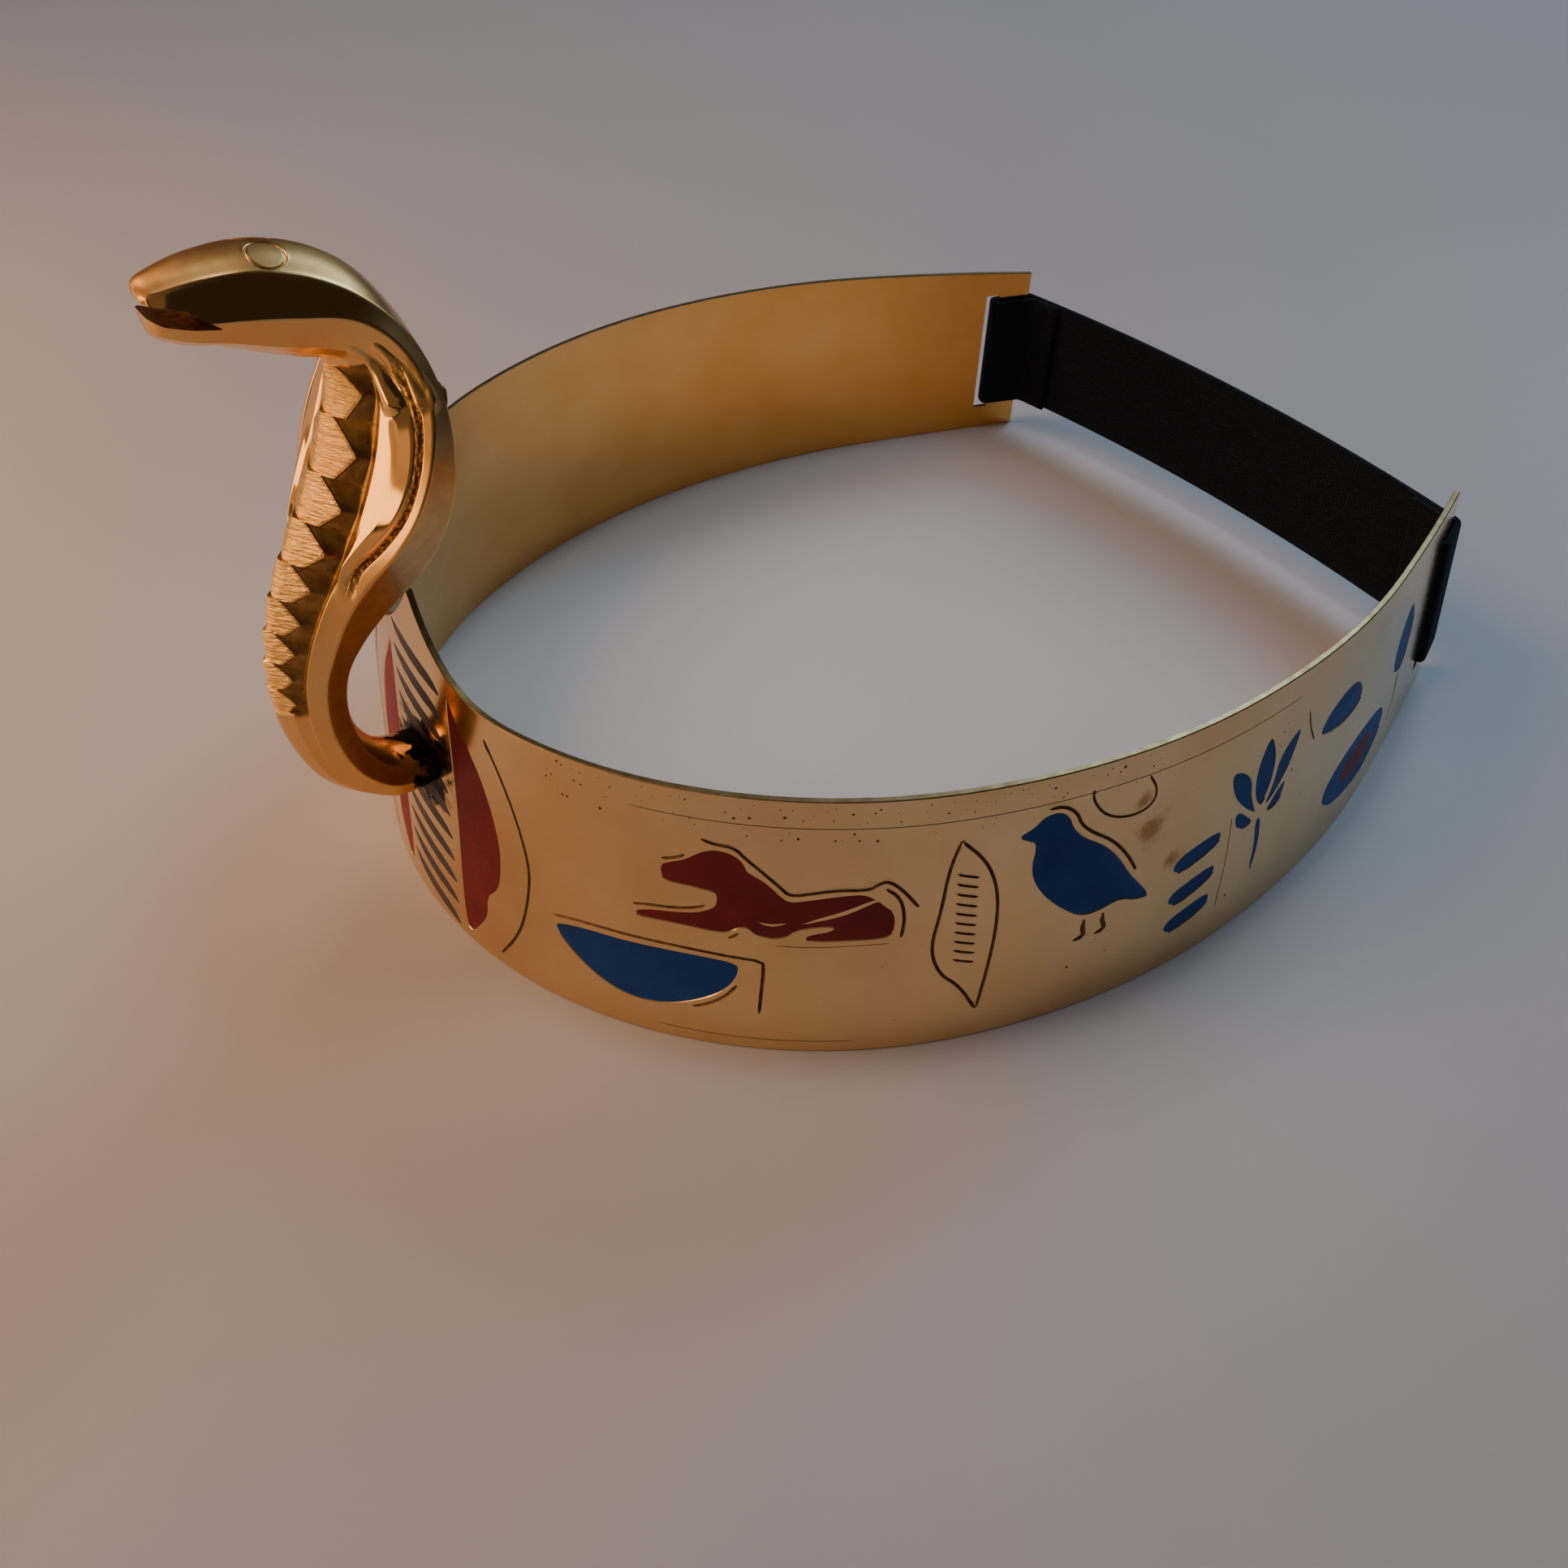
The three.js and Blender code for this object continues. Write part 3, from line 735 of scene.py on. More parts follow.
def build_band(looks):
    drawing = draw_band()
    add_pits(drawing)
    outline, edge = band_outline()
    slots = drawing.fields[:2]
    points, faces, depth, kinds, rim, place_of = triangulated(drawing, outline)
    skin = Skin()
    skin.add_points(points, depth)
    paints = {kind: Skin() for kind in PAINT_STEP}
    for paint in paints.values():
        paint.add_points(points, depth)
    for face, kind in zip(faces, kinds):
        if kind == "plate":
            skin.add_faces([face], PLATE, OUTWARD)
        elif kind == "groove":
            skin.add_faces([face], ENGRAVED, FLAT)
        elif kind in paints and np.min(depth[face]) > 0:
            paints[kind].add_faces([face], 0, OUTWARD)
        elif kind in paints or kind == "burr":
            skin.add_faces([face], PLATE, FLAT)
    # Inner face, plain but for the slots
    plain = Drawing()
    for ids in slots:
        plain.loop([drawing.points[i] for i in ids], 0, "slot")
    back_points, back_faces, _, back_kinds, back_rim, back_place = triangulated(plain, outline)
    first = skin.add_points(back_points, SHEET)
    behind = [[first + i for i in f[::-1]] for f, kind in zip(back_faces, back_kinds) if kind == "plate"]
    skin.add_faces(behind, INSIDE, INWARD)
    # Edges of the sheet, with their small chamfers
    outer = skin.add_points(edge, CHAMFER)
    inner = skin.add_points(edge, SHEET - CHAMFER)
    outer_ring = [outer + i for i in range(len(edge))]
    inner_ring = [inner + i for i in range(len(edge))]
    back_ring = [first + i for i in back_rim]
    for a, b in ((outer_ring, rim), (inner_ring, outer_ring), (back_ring, inner_ring)):
        skin.add_faces(strip(a, b), EDGE, FLAT)
    for k, ids in enumerate(slots):
        front = [place_of[i] for i in ids]
        behind = [first + back_place[len(ids) * k + i] for i in range(len(ids))]
        skin.add_faces(strip(front, behind), EDGE, FLAT)
    skin.build("band", [looks[k] for k in ("plate", "engraving", "edge", "inside")], "brass")
    for kind, paint in paints.items():
        paint.build(kind + "_enamel", [looks[kind]], kind + "_paint")


# Cobra

def smooth_step(limits, value):
    t = min(max((value - limits[0]) / (limits[1] - limits[0]), 0.0), 1.0)
    return t * t * (3 - 2 * t)


def mix(a, b, share):
    return a + (b - a) * share


def section_at(u):
    last = len(SECTIONS) - 1
    row = min(int(u), last - 1)
    t = u - row
    p, q, r, w = (SECTIONS[min(max(i, 0), last)] for i in range(row - 1, row + 3))
    rise, fall = (r - p) / 2, (w - q) / 2
    return ((2 * t ** 3 - 3 * t ** 2 + 1) * q + (t ** 3 - 2 * t ** 2 + t) * rise
            + (3 * t ** 2 - 2 * t ** 3) * r + (t ** 3 - t ** 2) * fall)


def scale_ends():
    """Where each scale meets the next along the body, from the neck down."""
    tips = np.array(SCALE_TIPS)
    between = (tips[1:] + tips[:-1]) / 2
    return [1.5 * tips[0] - 0.5 * tips[1], *between, 1.5 * tips[-1] - 0.5 * tips[-2]]


def scale_at(u):
    """How far a place is up its own scale, and how wide that scale is there as a share of its tips."""
    ends = scale_ends()
    for high, low in zip(ends, ends[1:]):
        if low < u <= high:
            up = (u - low) / (high - low)
            below = mix(TIP_BOTTOM, 1, up / TIP_PHASE)
            above = mix(1, TIP_TOP, (up - TIP_PHASE) / (1 - TIP_PHASE))
            return up, below if up < TIP_PHASE else above
    return 0.5, TIP_PLAIN


def hood_share(u):
    return smooth_step(HOOD_START, u) * (1 - smooth_step(HOOD_END, u))


def half_section(u):
    """Key points from the middle of the back round to the crest, as (half width, depth)."""
    row = section_at(u)
    edge_half, edge_depth, rim_half, rim_depth, shoulder_half, shoulder_depth = row[4:]
    hood = hood_share(u)
    head = smooth_step(HEAD_START, u)
    up, width = scale_at(u)
    slope = (shoulder_depth - rim_depth) / (rim_half - shoulder_half)
    share = min(max((u - PETAL_LOW) / (PETAL_WIDE - PETAL_LOW), 0), 1)
    swing = math.sqrt(1 - (1 - share) ** 2)
    petal = max(shoulder_half + PETAL_EDGE, mix(shoulder_half, rim_half - PETAL_INSET, swing))
    carved = (
        (petal + GROOVE_SPAN, 0),
        (petal + GROOVE_SPAN - PETAL_EDGE, -GROOVE_DEPTH),
        (petal + PETAL_EDGE, -GROOVE_DEPTH),
        (petal, 0),
        ((petal + shoulder_half) / 2, PETAL_RISE),
    )
    relief = []
    for plain, (x, rise) in zip(FACE_SHARES, carved):
        x = mix(mix(rim_half, shoulder_half, plain), x, hood)
        relief.append((x, rim_depth + slope * (rim_half - x) + hood * rise))
    valley = mix(mix(VALLEY_BODY, VALLEY_HOOD, hood), VALLEY_HEAD, head)
    crest = 1 + FACE_TILT * (2 * up - 1) * (1 - head)
    tip_half = shoulder_half * TIP_WIDE * width
    tip_depth = mix(crest, mix(shoulder_depth, 1, TIP_DEPTH), width)
    points = [
        (0, -BACK_BULGE),
        (BACK_MID * edge_half, mix(-BACK_BULGE, edge_depth, BACK_MID ** 2)),
        (edge_half, edge_depth),
        ((edge_half + rim_half) / 2 - HEAD_HOLLOW * head, (edge_depth + rim_depth) / 2),
        (rim_half, rim_depth),
        *relief,
        (shoulder_half, shoulder_depth),
        (shoulder_half - valley, shoulder_depth - VALLEY_DEPTH * mix(VALLEY_SHALLOW, 1, hood) * (1 - head)),
        (tip_half, tip_depth),
        (CREST_HALF * tip_half, mix(tip_depth, crest, CREST_ROUND)),
        (0, crest),
    ]
    placed = [(x, mix(row[2], row[0], d), mix(row[3], row[1], d)) for x, d in points]
    return np.array(placed)


def rounded(start, corner, stop, t):
    return (1 - t) ** 2 * start + 2 * t * (1 - t) * corner + t ** 2 * stop


def rounded_ring(points, radii):
    """A closed ring through rounded corners, with each sample's place among the key points."""
    ahead = np.roll(points, -1, axis=0) - points
    length = np.linalg.norm(ahead, axis=1)
    way = unit(ahead)
    cut = np.minimum(radii, CORNER_SHARE * np.minimum(length, np.roll(length, 1)))[:, None]
    starts, stops = points - cut * np.roll(way, 1, axis=0), points + cut * way
    samples, places = [], []
    for i, (corner, start, stop) in enumerate(zip(points, starts, stops)):
        after = starts[(i + 1) % len(points)]
        samples.extend(rounded(start, corner, stop, t) for t in CORNER_SAMPLES)
        samples.extend(mix(stop, after, t) for t in RUN_SAMPLES)
        places.extend([i] * len(CORNER_SAMPLES))
        places.extend(i + t for t in RUN_SAMPLES)
    return np.array(samples), np.array(places)


def cobra_ring(u):
    right = half_section(u)
    left = right[1:-1] * (-1, 1, 1)
    points = np.vstack((right, left[::-1]))
    radii = np.concatenate((ROUNDING, ROUNDING[1:-1][::-1]))
    samples, places = rounded_ring(points, radii)
    last = len(right) - 1
    return samples, np.where(places > last, 2 * last - places, places)


def cobra_places():
    steps = scale_ends()
    last = len(SECTIONS) - 1
    neck = range(*(n * RINGS_PER_SECTION for n in NECK_ROWS))
    places = [i / RINGS_PER_SECTION for i in range(last * RINGS_PER_SECTION + 1)]
    places.extend((i + 0.5) / RINGS_PER_SECTION for i in neck)
    places = [u for u in places if all(abs(top - u) > SCALE_CLEAR for top in steps)]
    for top in steps:
        places.extend((top - SCALE_STEP, top + SCALE_STEP))
    return sorted(places)


def after_key(key, start, sharp=SOFT_END):
    return np.clip((key - start) * sharp, 0, 1)


def among_keys(key, limits, sharp=SOFT_END):
    start, stop = limits
    return after_key(key, start) * after_key(-key, -stop, sharp)


def cobra_finish(u, key):
    """How filed, punched and polished the samples of one ring are, and how much darker brown: in the valley
    beside the scales, and painted shade on the body's sides and the head's top.
    """
    hood, head = hood_share(u), smooth_step(HEAD_START, u)
    ends = scale_ends()
    on_scale = float(ends[-1] - SCALE_MARGIN < u < ends[0] + SCALE_MARGIN)
    on_top = head * after_key(-key, -TOP_KEY, TOP_END)
    on_side = (1 - head) * among_keys(key, SIDE_KEYS)
    in_valley = on_scale * among_keys(key, VALLEY_KEYS, SHARP_END)
    smooth = np.maximum(hood * among_keys(key, PETAL_KEYS), head * among_keys(key, CHEEK_KEYS))
    return (
        on_scale * after_key(key, SCALE_KEY, SHARP_END),
        hood * among_keys(key, GROOVE_KEYS),
        smooth - HEAD_SATIN * on_top,
        np.maximum(in_valley, SIDE_PAINTED_SHADE * on_side + HEAD_PAINTED_SHADE * on_top),
    )


def build_cobra(looks):
    places = cobra_places()
    rings, keys = zip(*(cobra_ring(u) for u in places))
    faces = ring_faces(len(rings), len(rings[0]))
    piece = add_piece("cobra", np.vstack(rings), faces, [looks["cobra"]])
    face_outwards(piece)
    raise_folds(piece.data)
    finish = [cobra_finish(u, key) for u, key in zip(places, keys)]
    for name, values in zip(FINISHES, zip(*finish)):
        layer = piece.data.attributes.new(name, "FLOAT", "POINT")
        layer.data.foreach_set("value", np.concatenate(values))
    cut_cobra(piece, looks["mouth"])
    piece.data.set_sharp_from_angle(angle=CREASE)


def scratch_object(name, points, faces):
    mesh = bpy.data.meshes.new(name)
    mesh.from_pydata(to_frame(points).tolist(), [], faces)
    thing = bpy.data.objects.new(name, mesh)
    bpy.context.scene.collection.objects.link(thing)
    face_outwards(thing)
    return thing


def ring_tube(path, radius, sides=8):
    """Points and faces of a closed tube along a ring of 3-D points."""
    way = unit(np.roll(path, -1, axis=0) - np.roll(path, 1, axis=0))
    outward = path - path.mean(axis=0)
    outward = unit(outward - np.sum(outward * way, axis=1, keepdims=True) * way)
    turn = turns(sides)[:, None]
    rings = [
        p + radius * (np.cos(turn) * o + np.sin(turn) * a)
        for p, o, a in zip(path, outward, np.cross(way, outward))
    ]
    return np.vstack(rings), ring_faces(len(rings), sides, closed=True)


def raise_folds(mesh):
    """Lift the folds at the sides of the neck out of the surface."""
    places = from_frame([v.co for v in mesh.vertices])
    normals = np.array([v.normal for v in mesh.vertices])
    lift = np.zeros(len(places))
    for side in (-1, 1):
        for start, stop, half in NECK_FOLDS:
            top = np.array(start) * (side, 1, 1)
            way = np.array(stop) * (side, 1, 1) - top
            share = np.clip((places - top) @ way / (way @ way), 0, 1)
            gap = places - top - share[:, None] * way
            deep = np.sum(gap * normals, axis=1)
            aside = np.linalg.norm(gap - deep[:, None] * normals, axis=1)
            swell = mix(FOLD_ROOT, 1, share)
            bulge = np.maximum(1 - (aside / (half * swell)) ** 2, 0) * swell
            lift = np.maximum(lift, np.where(np.abs(deep) < FOLD_REACH, FOLD_HEIGHT * bulge, 0))
    mesh.vertices.foreach_set("co", to_frame(places + lift[:, None] * normals).ravel())


def eye_ring(tree, side):
    middle = Vector(to_frame(np.array(EYE_PLACE) * (side, 1, 1)))
    _, normal, _, _ = tree.find_nearest(middle)
    a = normal.cross(Vector((0, 1, 0))).normalized()
    b = normal.cross(a)
    spots = [middle + EYE_RADIUS * MM * (math.cos(t) * a + math.sin(t) * b) for t in turns(EYE_POINTS)]
    path = from_frame([tree.find_nearest(spot)[0] for spot in spots])
    return scratch_object("eye_cut", *ring_tube(path, EYE_GROOVE))


def cut_cobra(piece, mouth_look):
    """Mouth and the ring round each eye, cut out of the cobra."""
    shape = bmesh.new()
    shape.from_mesh(piece.data)
    tree = BVHTree.FromBMesh(shape)
    shape.free()
    points = [(x, y, z) for x in (-MOUTH_HALF, MOUTH_HALF) for y, z in MOUTH_SIDE]
    mouth = scratch_object("mouth_cut", points, ring_faces(2, len(MOUTH_SIDE)))
    mouth.data.materials.append(mouth_look)
    tools = [mouth, eye_ring(tree, -1), eye_ring(tree, 1)]
    for tool in tools:
        cut = piece.modifiers.new("cut", "BOOLEAN")
        cut.operation = "DIFFERENCE"
        cut.material_mode = "TRANSFER" if tool is mouth else "INDEX"
        cut.solver = "EXACT"
        cut.object = tool
    bpy.context.view_layer.update()
    evaluated = piece.evaluated_get(bpy.context.evaluated_depsgraph_get())
    made = bpy.data.meshes.new_from_object(evaluated)
    piece.modifiers.clear()
    old = piece.data
    piece.data = made
    bpy.data.meshes.remove(old)
    for tool in tools:
        mesh = tool.data
        bpy.data.objects.remove(tool)
        bpy.data.meshes.remove(mesh)


# Elastic

def bent_line(corners, radii):
    """An open line with rounded corners, as the same number of samples whatever the corners' places."""
    corners = np.array(corners, float)
    samples = [corners[0]]
    for i in range(1, len(corners) - 1):
        if not radii[i]:
            samples.append(corners[i])
            continue
        start = corners[i] + radii[i] * unit(corners[i - 1] - corners[i])
        stop = corners[i] + radii[i] * unit(corners[i + 1] - corners[i])
        samples.extend(rounded(start, corners[i], stop, t) for t in np.linspace(0, 1, BEND_POINTS))
    samples.append(corners[-1])
    return np.array(samples)


def strap_line(z):
    """Middle line of the elastic at height z: sewn end, loop round a bar, run, and the mirror of it."""
    x, y, out_x, out_y = (float(v) for v in plan_at(np.array(float(HALF_LENGTH))))
    end, out, along = np.array((x, y)), np.array((out_x, out_y)), np.array((-out_y, out_x))

    def at(past, away):
        return end + past * along + (away - LEAN * z) * out

    corner = at(LOOP_PAST, LOOP_OUT)
    reach = corner[0]

    def run(across, back):
        return np.array((across, corner[1] + STRAP_BOW * (1 - (across / reach) ** 2) - back))

    turn = at(LOOP_PAST, LOOP_IN)
    sewn_run = np.linspace(reach - SEWN_LENGTH, turn[0] - SEWN_CLEAR, SEWN_POINTS)
    sewn = [run(across, 2 * STRAP_HALF) for across in sewn_run]
    legs = [turn, at(LOOP_SLOT, LOOP_IN), at(LOOP_SLOT, LOOP_OUT), corner]
    free = [run(across, 0) for across in np.linspace(reach - RUN_CLEAR, 0, RUN_POINTS)]
    radii = [0] * len(sewn) + [STRAP_BEND] * len(legs) + [0] * len(free)
    half = bent_line(sewn + legs + free, radii)
    return np.vstack((half, (half[:-1] * (-1, 1))[::-1]))


def strap_rows():
    """Heights across the elastic with its half thickness there, thinning at both edges."""
    middle = np.linspace(STRAP_LOW + STRAP_EDGE, STRAP_HIGH - STRAP_EDGE, STRAP_ROWS)[1:-1]
    rows = [(STRAP_LOW + z, STRAP_HALF * t) for z, t in STRAP_PROFILE]
    rows += [(z, STRAP_HALF) for z in middle]
    return rows + [(STRAP_HIGH - z, STRAP_HALF * t) for z, t in STRAP_PROFILE[::-1]]


def build_strap(looks):
    outer, inner = [], []
    for z, half in strap_rows():
        line = strap_line(z)
        side = left_of(unit(np.gradient(line, axis=0)))
        level = np.full((len(line), 1), z)
        outer.append(np.hstack((line + half * side, level)))
        inner.append(np.hstack((line - half * side, level)))
    grid = np.array(outer + inner[::-1])
    count, stations = grid.shape[:2]
    points = grid.transpose(1, 0, 2).reshape(-1, 3)
    faces = ring_faces(stations, count)
    piece = add_piece("elastic", points, faces, [looks["elastic"]], node="elastic_strap")
    middle = strap_line((STRAP_LOW + STRAP_HIGH) / 2)
    along = np.concatenate(([0], np.cumsum(np.linalg.norm(np.diff(middle, axis=0), axis=1))))
    flat = np.stack((np.repeat(along, count), points[:, 2]), axis=1)
    uv = piece.data.uv_layers.new(name="weave")
    corner = np.zeros(len(piece.data.loops), int)
    piece.data.loops.foreach_get("vertex_index", corner)
    uv.data.foreach_set("uv", (flat[corner] / MM_PER_UV).ravel())
    face_outwards(piece)
    return piece, float(along[-1])


# Materials

# Colours, two where a look runs from one to the other
FLUX_BLACK = (0.012, 0.009, 0.007)
PLATE_BRASS = ((0.77, 0.51, 0.24), (0.87, 0.61, 0.32))
PLATE_STAIN = (0.36, 0.16, 0.04)
INSIDE_PALE = ((0.78, 0.52, 0.21), (0.88, 0.61, 0.28))
# Painted warm reflection on the inner face, towards the ends of the band
INSIDE_WARM_REFLECTION = ((0.86, 0.41, 0.10), (0.94, 0.50, 0.15))
EDGE_BRASS = ((0.30, 0.19, 0.08), (0.52, 0.35, 0.16))
LINE_BROWN = ((0.10, 0.05, 0.02), (0.34, 0.18, 0.07))
COBRA_BRASS = ((0.85, 0.46, 0.155), (0.94, 0.57, 0.22))
FILED_BRASS = (0.97, 0.61, 0.21)
PUNCHED_BROWN = (0.12, 0.05, 0.012)
VALLEY_AND_SHADE_BROWN = (0.16, 0.07, 0.02)
MOUTH_BRASS = ((0.22, 0.11, 0.04), (0.62, 0.40, 0.18))
KNIT_BLACK = ((0.002, 0.0046, 0.0098), (0.007, 0.0155, 0.031))
PAPER = ((0.54, 0.52, 0.54), (0.58, 0.56, 0.575))
# Paints from deep to light, with a last tint
PAINTS = {
    "red": ((0.16, 0.010, 0.016), (0.21, 0.016, 0.024), (0.26, 0.026, 0.034)),
    "blue": ((0.002, 0.040, 0.22), (0.003, 0.062, 0.32), (0.004, 0.095, 0.33)),
    "slate": ((0.05, 0.04, 0.06), (0.08, 0.065, 0.085), (0.11, 0.08, 0.09)),
}
# Height of the solder joint, the soot on the cobra there, and the stains as flat place and size
FOOT_Z = 29.5
SOOT_Y = (-3.4, 2.2)
SOOT_Z = (40, 36)
STAINS = ((1.19, 0.30, 0.05), (1.24, 0.22, 0.035), (1.17, 0.36, 0.03))
# Length and width of a stitch of the elastic
STITCH = (0.8, 0.9)


class Look:
    """A node material being put together."""

    def __init__(self, name, **fixed):
        self.material = bpy.data.materials.new(name)
        self.material.use_nodes = True
        self.tree = self.material.node_tree
        self.shader = self.tree.nodes["Principled BSDF"]
        for socket, value in fixed.items():
            self.to(socket.replace("_", " "), value)

    def fill(self, socket, value):
        if isinstance(value, bpy.types.NodeSocket):
            self.tree.links.new(value, socket)
        elif value is not None:
            socket.default_value = value

    def to(self, socket, value):
        self.fill(self.shader.inputs[socket], value)

    def node(self, kind, *inputs, **settings):
        made = self.tree.nodes.new(kind)
        for key, value in settings.items():
            setattr(made, key, value)
        for i, value in enumerate(inputs):
            self.fill(made.inputs[i], value)
        return made

    def math(self, operation, *inputs):
        return self.node("ShaderNodeMath", *inputs, operation=operation).outputs[0]

    def times(self, a, b):
        return self.math("MULTIPLY", a, b)

    def plus(self, value, *shares):
        """A value with shares of other values added to it."""
        for other, share in shares:
            value = self.math("ADD", value, self.times(other, share))
        return value

    def ramp(self, value, *stops):
        made = self.node("ShaderNodeValToRGB", value)
        bar = made.color_ramp
        while len(bar.elements) < len(stops):
            bar.elements.new(0.5)
        for element, (place, colour) in zip(bar.elements, stops):
            element.position = place
            element.color = (*colour, 1)
        return made.outputs[0]

    def tones(self, value, colours, low=0.3, high=0.7):
        return self.ramp(value, (low, colours[0]), (high, colours[1]))

    def level(self, value, low, high, out_low=0.0, out_high=1.0):
        return self.node("ShaderNodeMapRange", value, low, high, out_low, out_high, clamp=True).outputs[0]

    def noise(self, vector, scale, detail=3.0, rough=0.5):
        return self.node("ShaderNodeTexNoise", vector, None, scale, detail, rough).outputs[0]

    def blend(self, share, a, b):
        made = self.node("ShaderNodeMix", share, data_type="RGBA")
        for i, value in ((6, a), (7, b)):
            self.fill(made.inputs[i], (*value, 1) if isinstance(value, tuple) else value)
        return made.outputs[2]

    def bump(self, height, strength, distance, below=None):
        made = self.node("ShaderNodeBump")
        values = {"Strength": strength, "Distance": distance, "Height": height, "Normal": below}
        for socket, value in values.items():
            self.fill(made.inputs[socket], value)
        return made.outputs[0]

    def place(self, kind="Object", scale=(1, 1, 1), turn=(0, 0, 0)):
        source = self.node("ShaderNodeTexCoord").outputs[kind]
        return self.node("ShaderNodeMapping", source, None, turn, scale).outputs[0]

    def flat(self, name):
        return self.node("ShaderNodeUVMap", uv_map=name).outputs[0]

    def folded(self, vector):
        return self.node("ShaderNodeVectorMath", vector, operation="ABSOLUTE").outputs[0]

    def away(self, vector, place):
        return self.node("ShaderNodeVectorMath", vector, place, operation="DISTANCE").outputs["Value"]

    def parts(self, vector):
        return self.node("ShaderNodeSeparateXYZ", vector).outputs


def sheet_look(name):
    """Rolled sheet brass before its colour, with its flat coordinates and its cloudy tone."""
    look = Look(name, Metallic=1.0)
    uv = look.flat("band")
    rolled = look.noise(look.place("UV", (4, 220, 1)), 1.0, 2.0)
    wave = look.bump(look.noise(uv, 3.0, 1.0), 0.25, 0.0006)
    look.to("Normal", look.bump(rolled, 0.05, 0.0002, wave))
    return look, uv, look.noise(uv, 6.0, 4.0, 0.55)


def inside_look():
    look, uv, cloud = sheet_look("band_inside")
    # Paler near the cobra, and more orange towards the ends of the band as a painted warm reflection
    warm_reflection = look.level(look.parts(look.folded(uv))["X"], 0.4, 1.5)
    colour = look.blend(warm_reflection, look.tones(cloud, INSIDE_PALE), look.tones(cloud, INSIDE_WARM_REFLECTION))
    look.to("Base Color", colour)
    look.to("Roughness", look.level(cloud, 0.3, 0.7, 0.1, 0.16))
    return look.material


def plate_look():
    look, uv, cloud = sheet_look("band_brass")
    wander = look.noise(uv, 22.0, 4.0, 0.65)
    # Brown tarnish in a few runs, the same on both sides of the band
    stain = None
    for s, z, size in STAINS:
        away = look.away(look.folded(uv), (s, z, 0))
        near = look.math("SUBTRACT", 1.0, look.math("DIVIDE", away, size))
        stain = near if stain is None else look.math("MAXIMUM", stain, near)
    stain = look.math("ADD", stain, look.level(wander, 0.3, 0.75, -0.6, 0.5))
    stain = look.level(stain, 0.2, 0.9, 0.0, 0.75)
    # Soot from the torch round the cobra's foot
    foot = look.away(uv, (0, FOOT_Z / MM_PER_UV, 0))
    foot = look.math("SUBTRACT", foot, look.level(wander, 0.3, 0.7, -0.02, 0.045))
    soot = look.level(foot, 0.055, 0.075, 1, 0)
    colour = look.blend(stain, look.tones(cloud, PLATE_BRASS), PLATE_STAIN)
    look.to("Base Color", look.blend(soot, colour, FLUX_BLACK))
    rough = look.level(look.noise(uv, 90.0, 2.0), 0.3, 0.7, 0.13, 0.2)
    look.to("Roughness", look.plus(rough, (stain, 0.25), (soot, 0.4)))
    return look.material


def grain_look(name, metallic, noise, tones, rough, bump=None):
    look = Look(name, Metallic=metallic)
    grain = look.noise(look.place(), *noise)
    look.to("Base Color", look.tones(grain, *tones))
    look.to("Roughness", look.level(grain, *rough))
    if bump:
        look.to("Normal", look.bump(grain, *bump))
    return look.material


def paint_look(name, deep, light, tint):
    look = Look(name, Specular_IOR_Level=0.22)
    spot = look.place()
    pool = look.noise(spot, 160.0, 3.0)
    grain = look.noise(spot, 1600.0, 2.0)
    colour = look.ramp(pool, (0.25, deep), (0.6, light), (0.85, tint))
    foot = tuple(to_frame(on_band(np.zeros(1), np.full(1, FOOT_Z), 0))[0])
    away = look.math("ADD", look.away(spot, foot), look.level(pool, 0.3, 0.7, -0.003, 0.003))
    soot = look.level(away, 0.0055, 0.0085, 1, 0)
    look.to("Base Color", look.blend(soot, colour, FLUX_BLACK))
    look.to("Roughness", look.level(grain, 0.2, 0.8, 0.42, 0.56))
    look.to("Normal", look.bump(grain, 0.15, 0.0001, look.bump(pool, 0.3, 0.0002)))
    return look.material


def cobra_look():
    look = Look("cobra_brass", Metallic=1.0)
    spot = look.place()
    filed, punched, polished, valley_and_painted_shade = (
        look.node("ShaderNodeAttribute", attribute_name=name).outputs["Fac"] for name in FINISHES)
    cloud = look.noise(spot, 70.0, 3.0)
    wander = look.noise(spot, 420.0, 4.0, 0.65)
    strokes = look.noise(look.place("Object", (260, 420, 2600), (0.35, 0, 0)), 1.0, 3.0, 0.6)
    dot = look.node("ShaderNodeTexVoronoi", spot, None, 1300.0).outputs["Distance"]
    colour = look.blend(look.times(filed, 0.8), look.tones(cloud, COBRA_BRASS), FILED_BRASS)
    holes = look.times(punched, look.level(dot, 0.1, 0.6, 0.2, 0.95))
    colour = look.blend(holes, colour, PUNCHED_BROWN)
    where = look.parts(spot)
    behind = look.level(where["Y"], *((FRONT_Y + y) * MM for y in SOOT_Y))
    below = look.level(where["Z"], *(z * MM for z in SOOT_Z))
    soot = look.math("ADD", look.times(behind, below), look.level(wander, 0.3, 0.7, -0.45, 0.45))
    soot = look.level(soot, 0.45, 0.6)
    colour = look.blend(soot, colour, FLUX_BLACK)
    # Darker brown in the valley beside the scales, and painted shade on the body's sides and the head's top
    darkening = look.times(valley_and_painted_shade, look.level(wander, 0.3, 0.7, 0.95, 0.6))
    look.to("Base Color", look.blend(darkening, colour, VALLEY_AND_SHADE_BROWN))
    rough = look.level(cloud, 0.3, 0.7, 0.24, 0.3)
    shares = ((polished, -0.17), (filed, 0.06), (valley_and_painted_shade, 0.15), (punched, 0.2), (soot, 0.4))
    look.to("Roughness", look.plus(rough, *shares))
    normal = look.bump(look.noise(spot, 120.0, 2.0), 0.12, 0.0006)
    normal = look.bump(look.times(strokes, filed), 1.0, 0.0006, normal)
    look.to("Normal", look.bump(look.times(dot, punched), 0.8, 0.0005, normal))
    return look.material


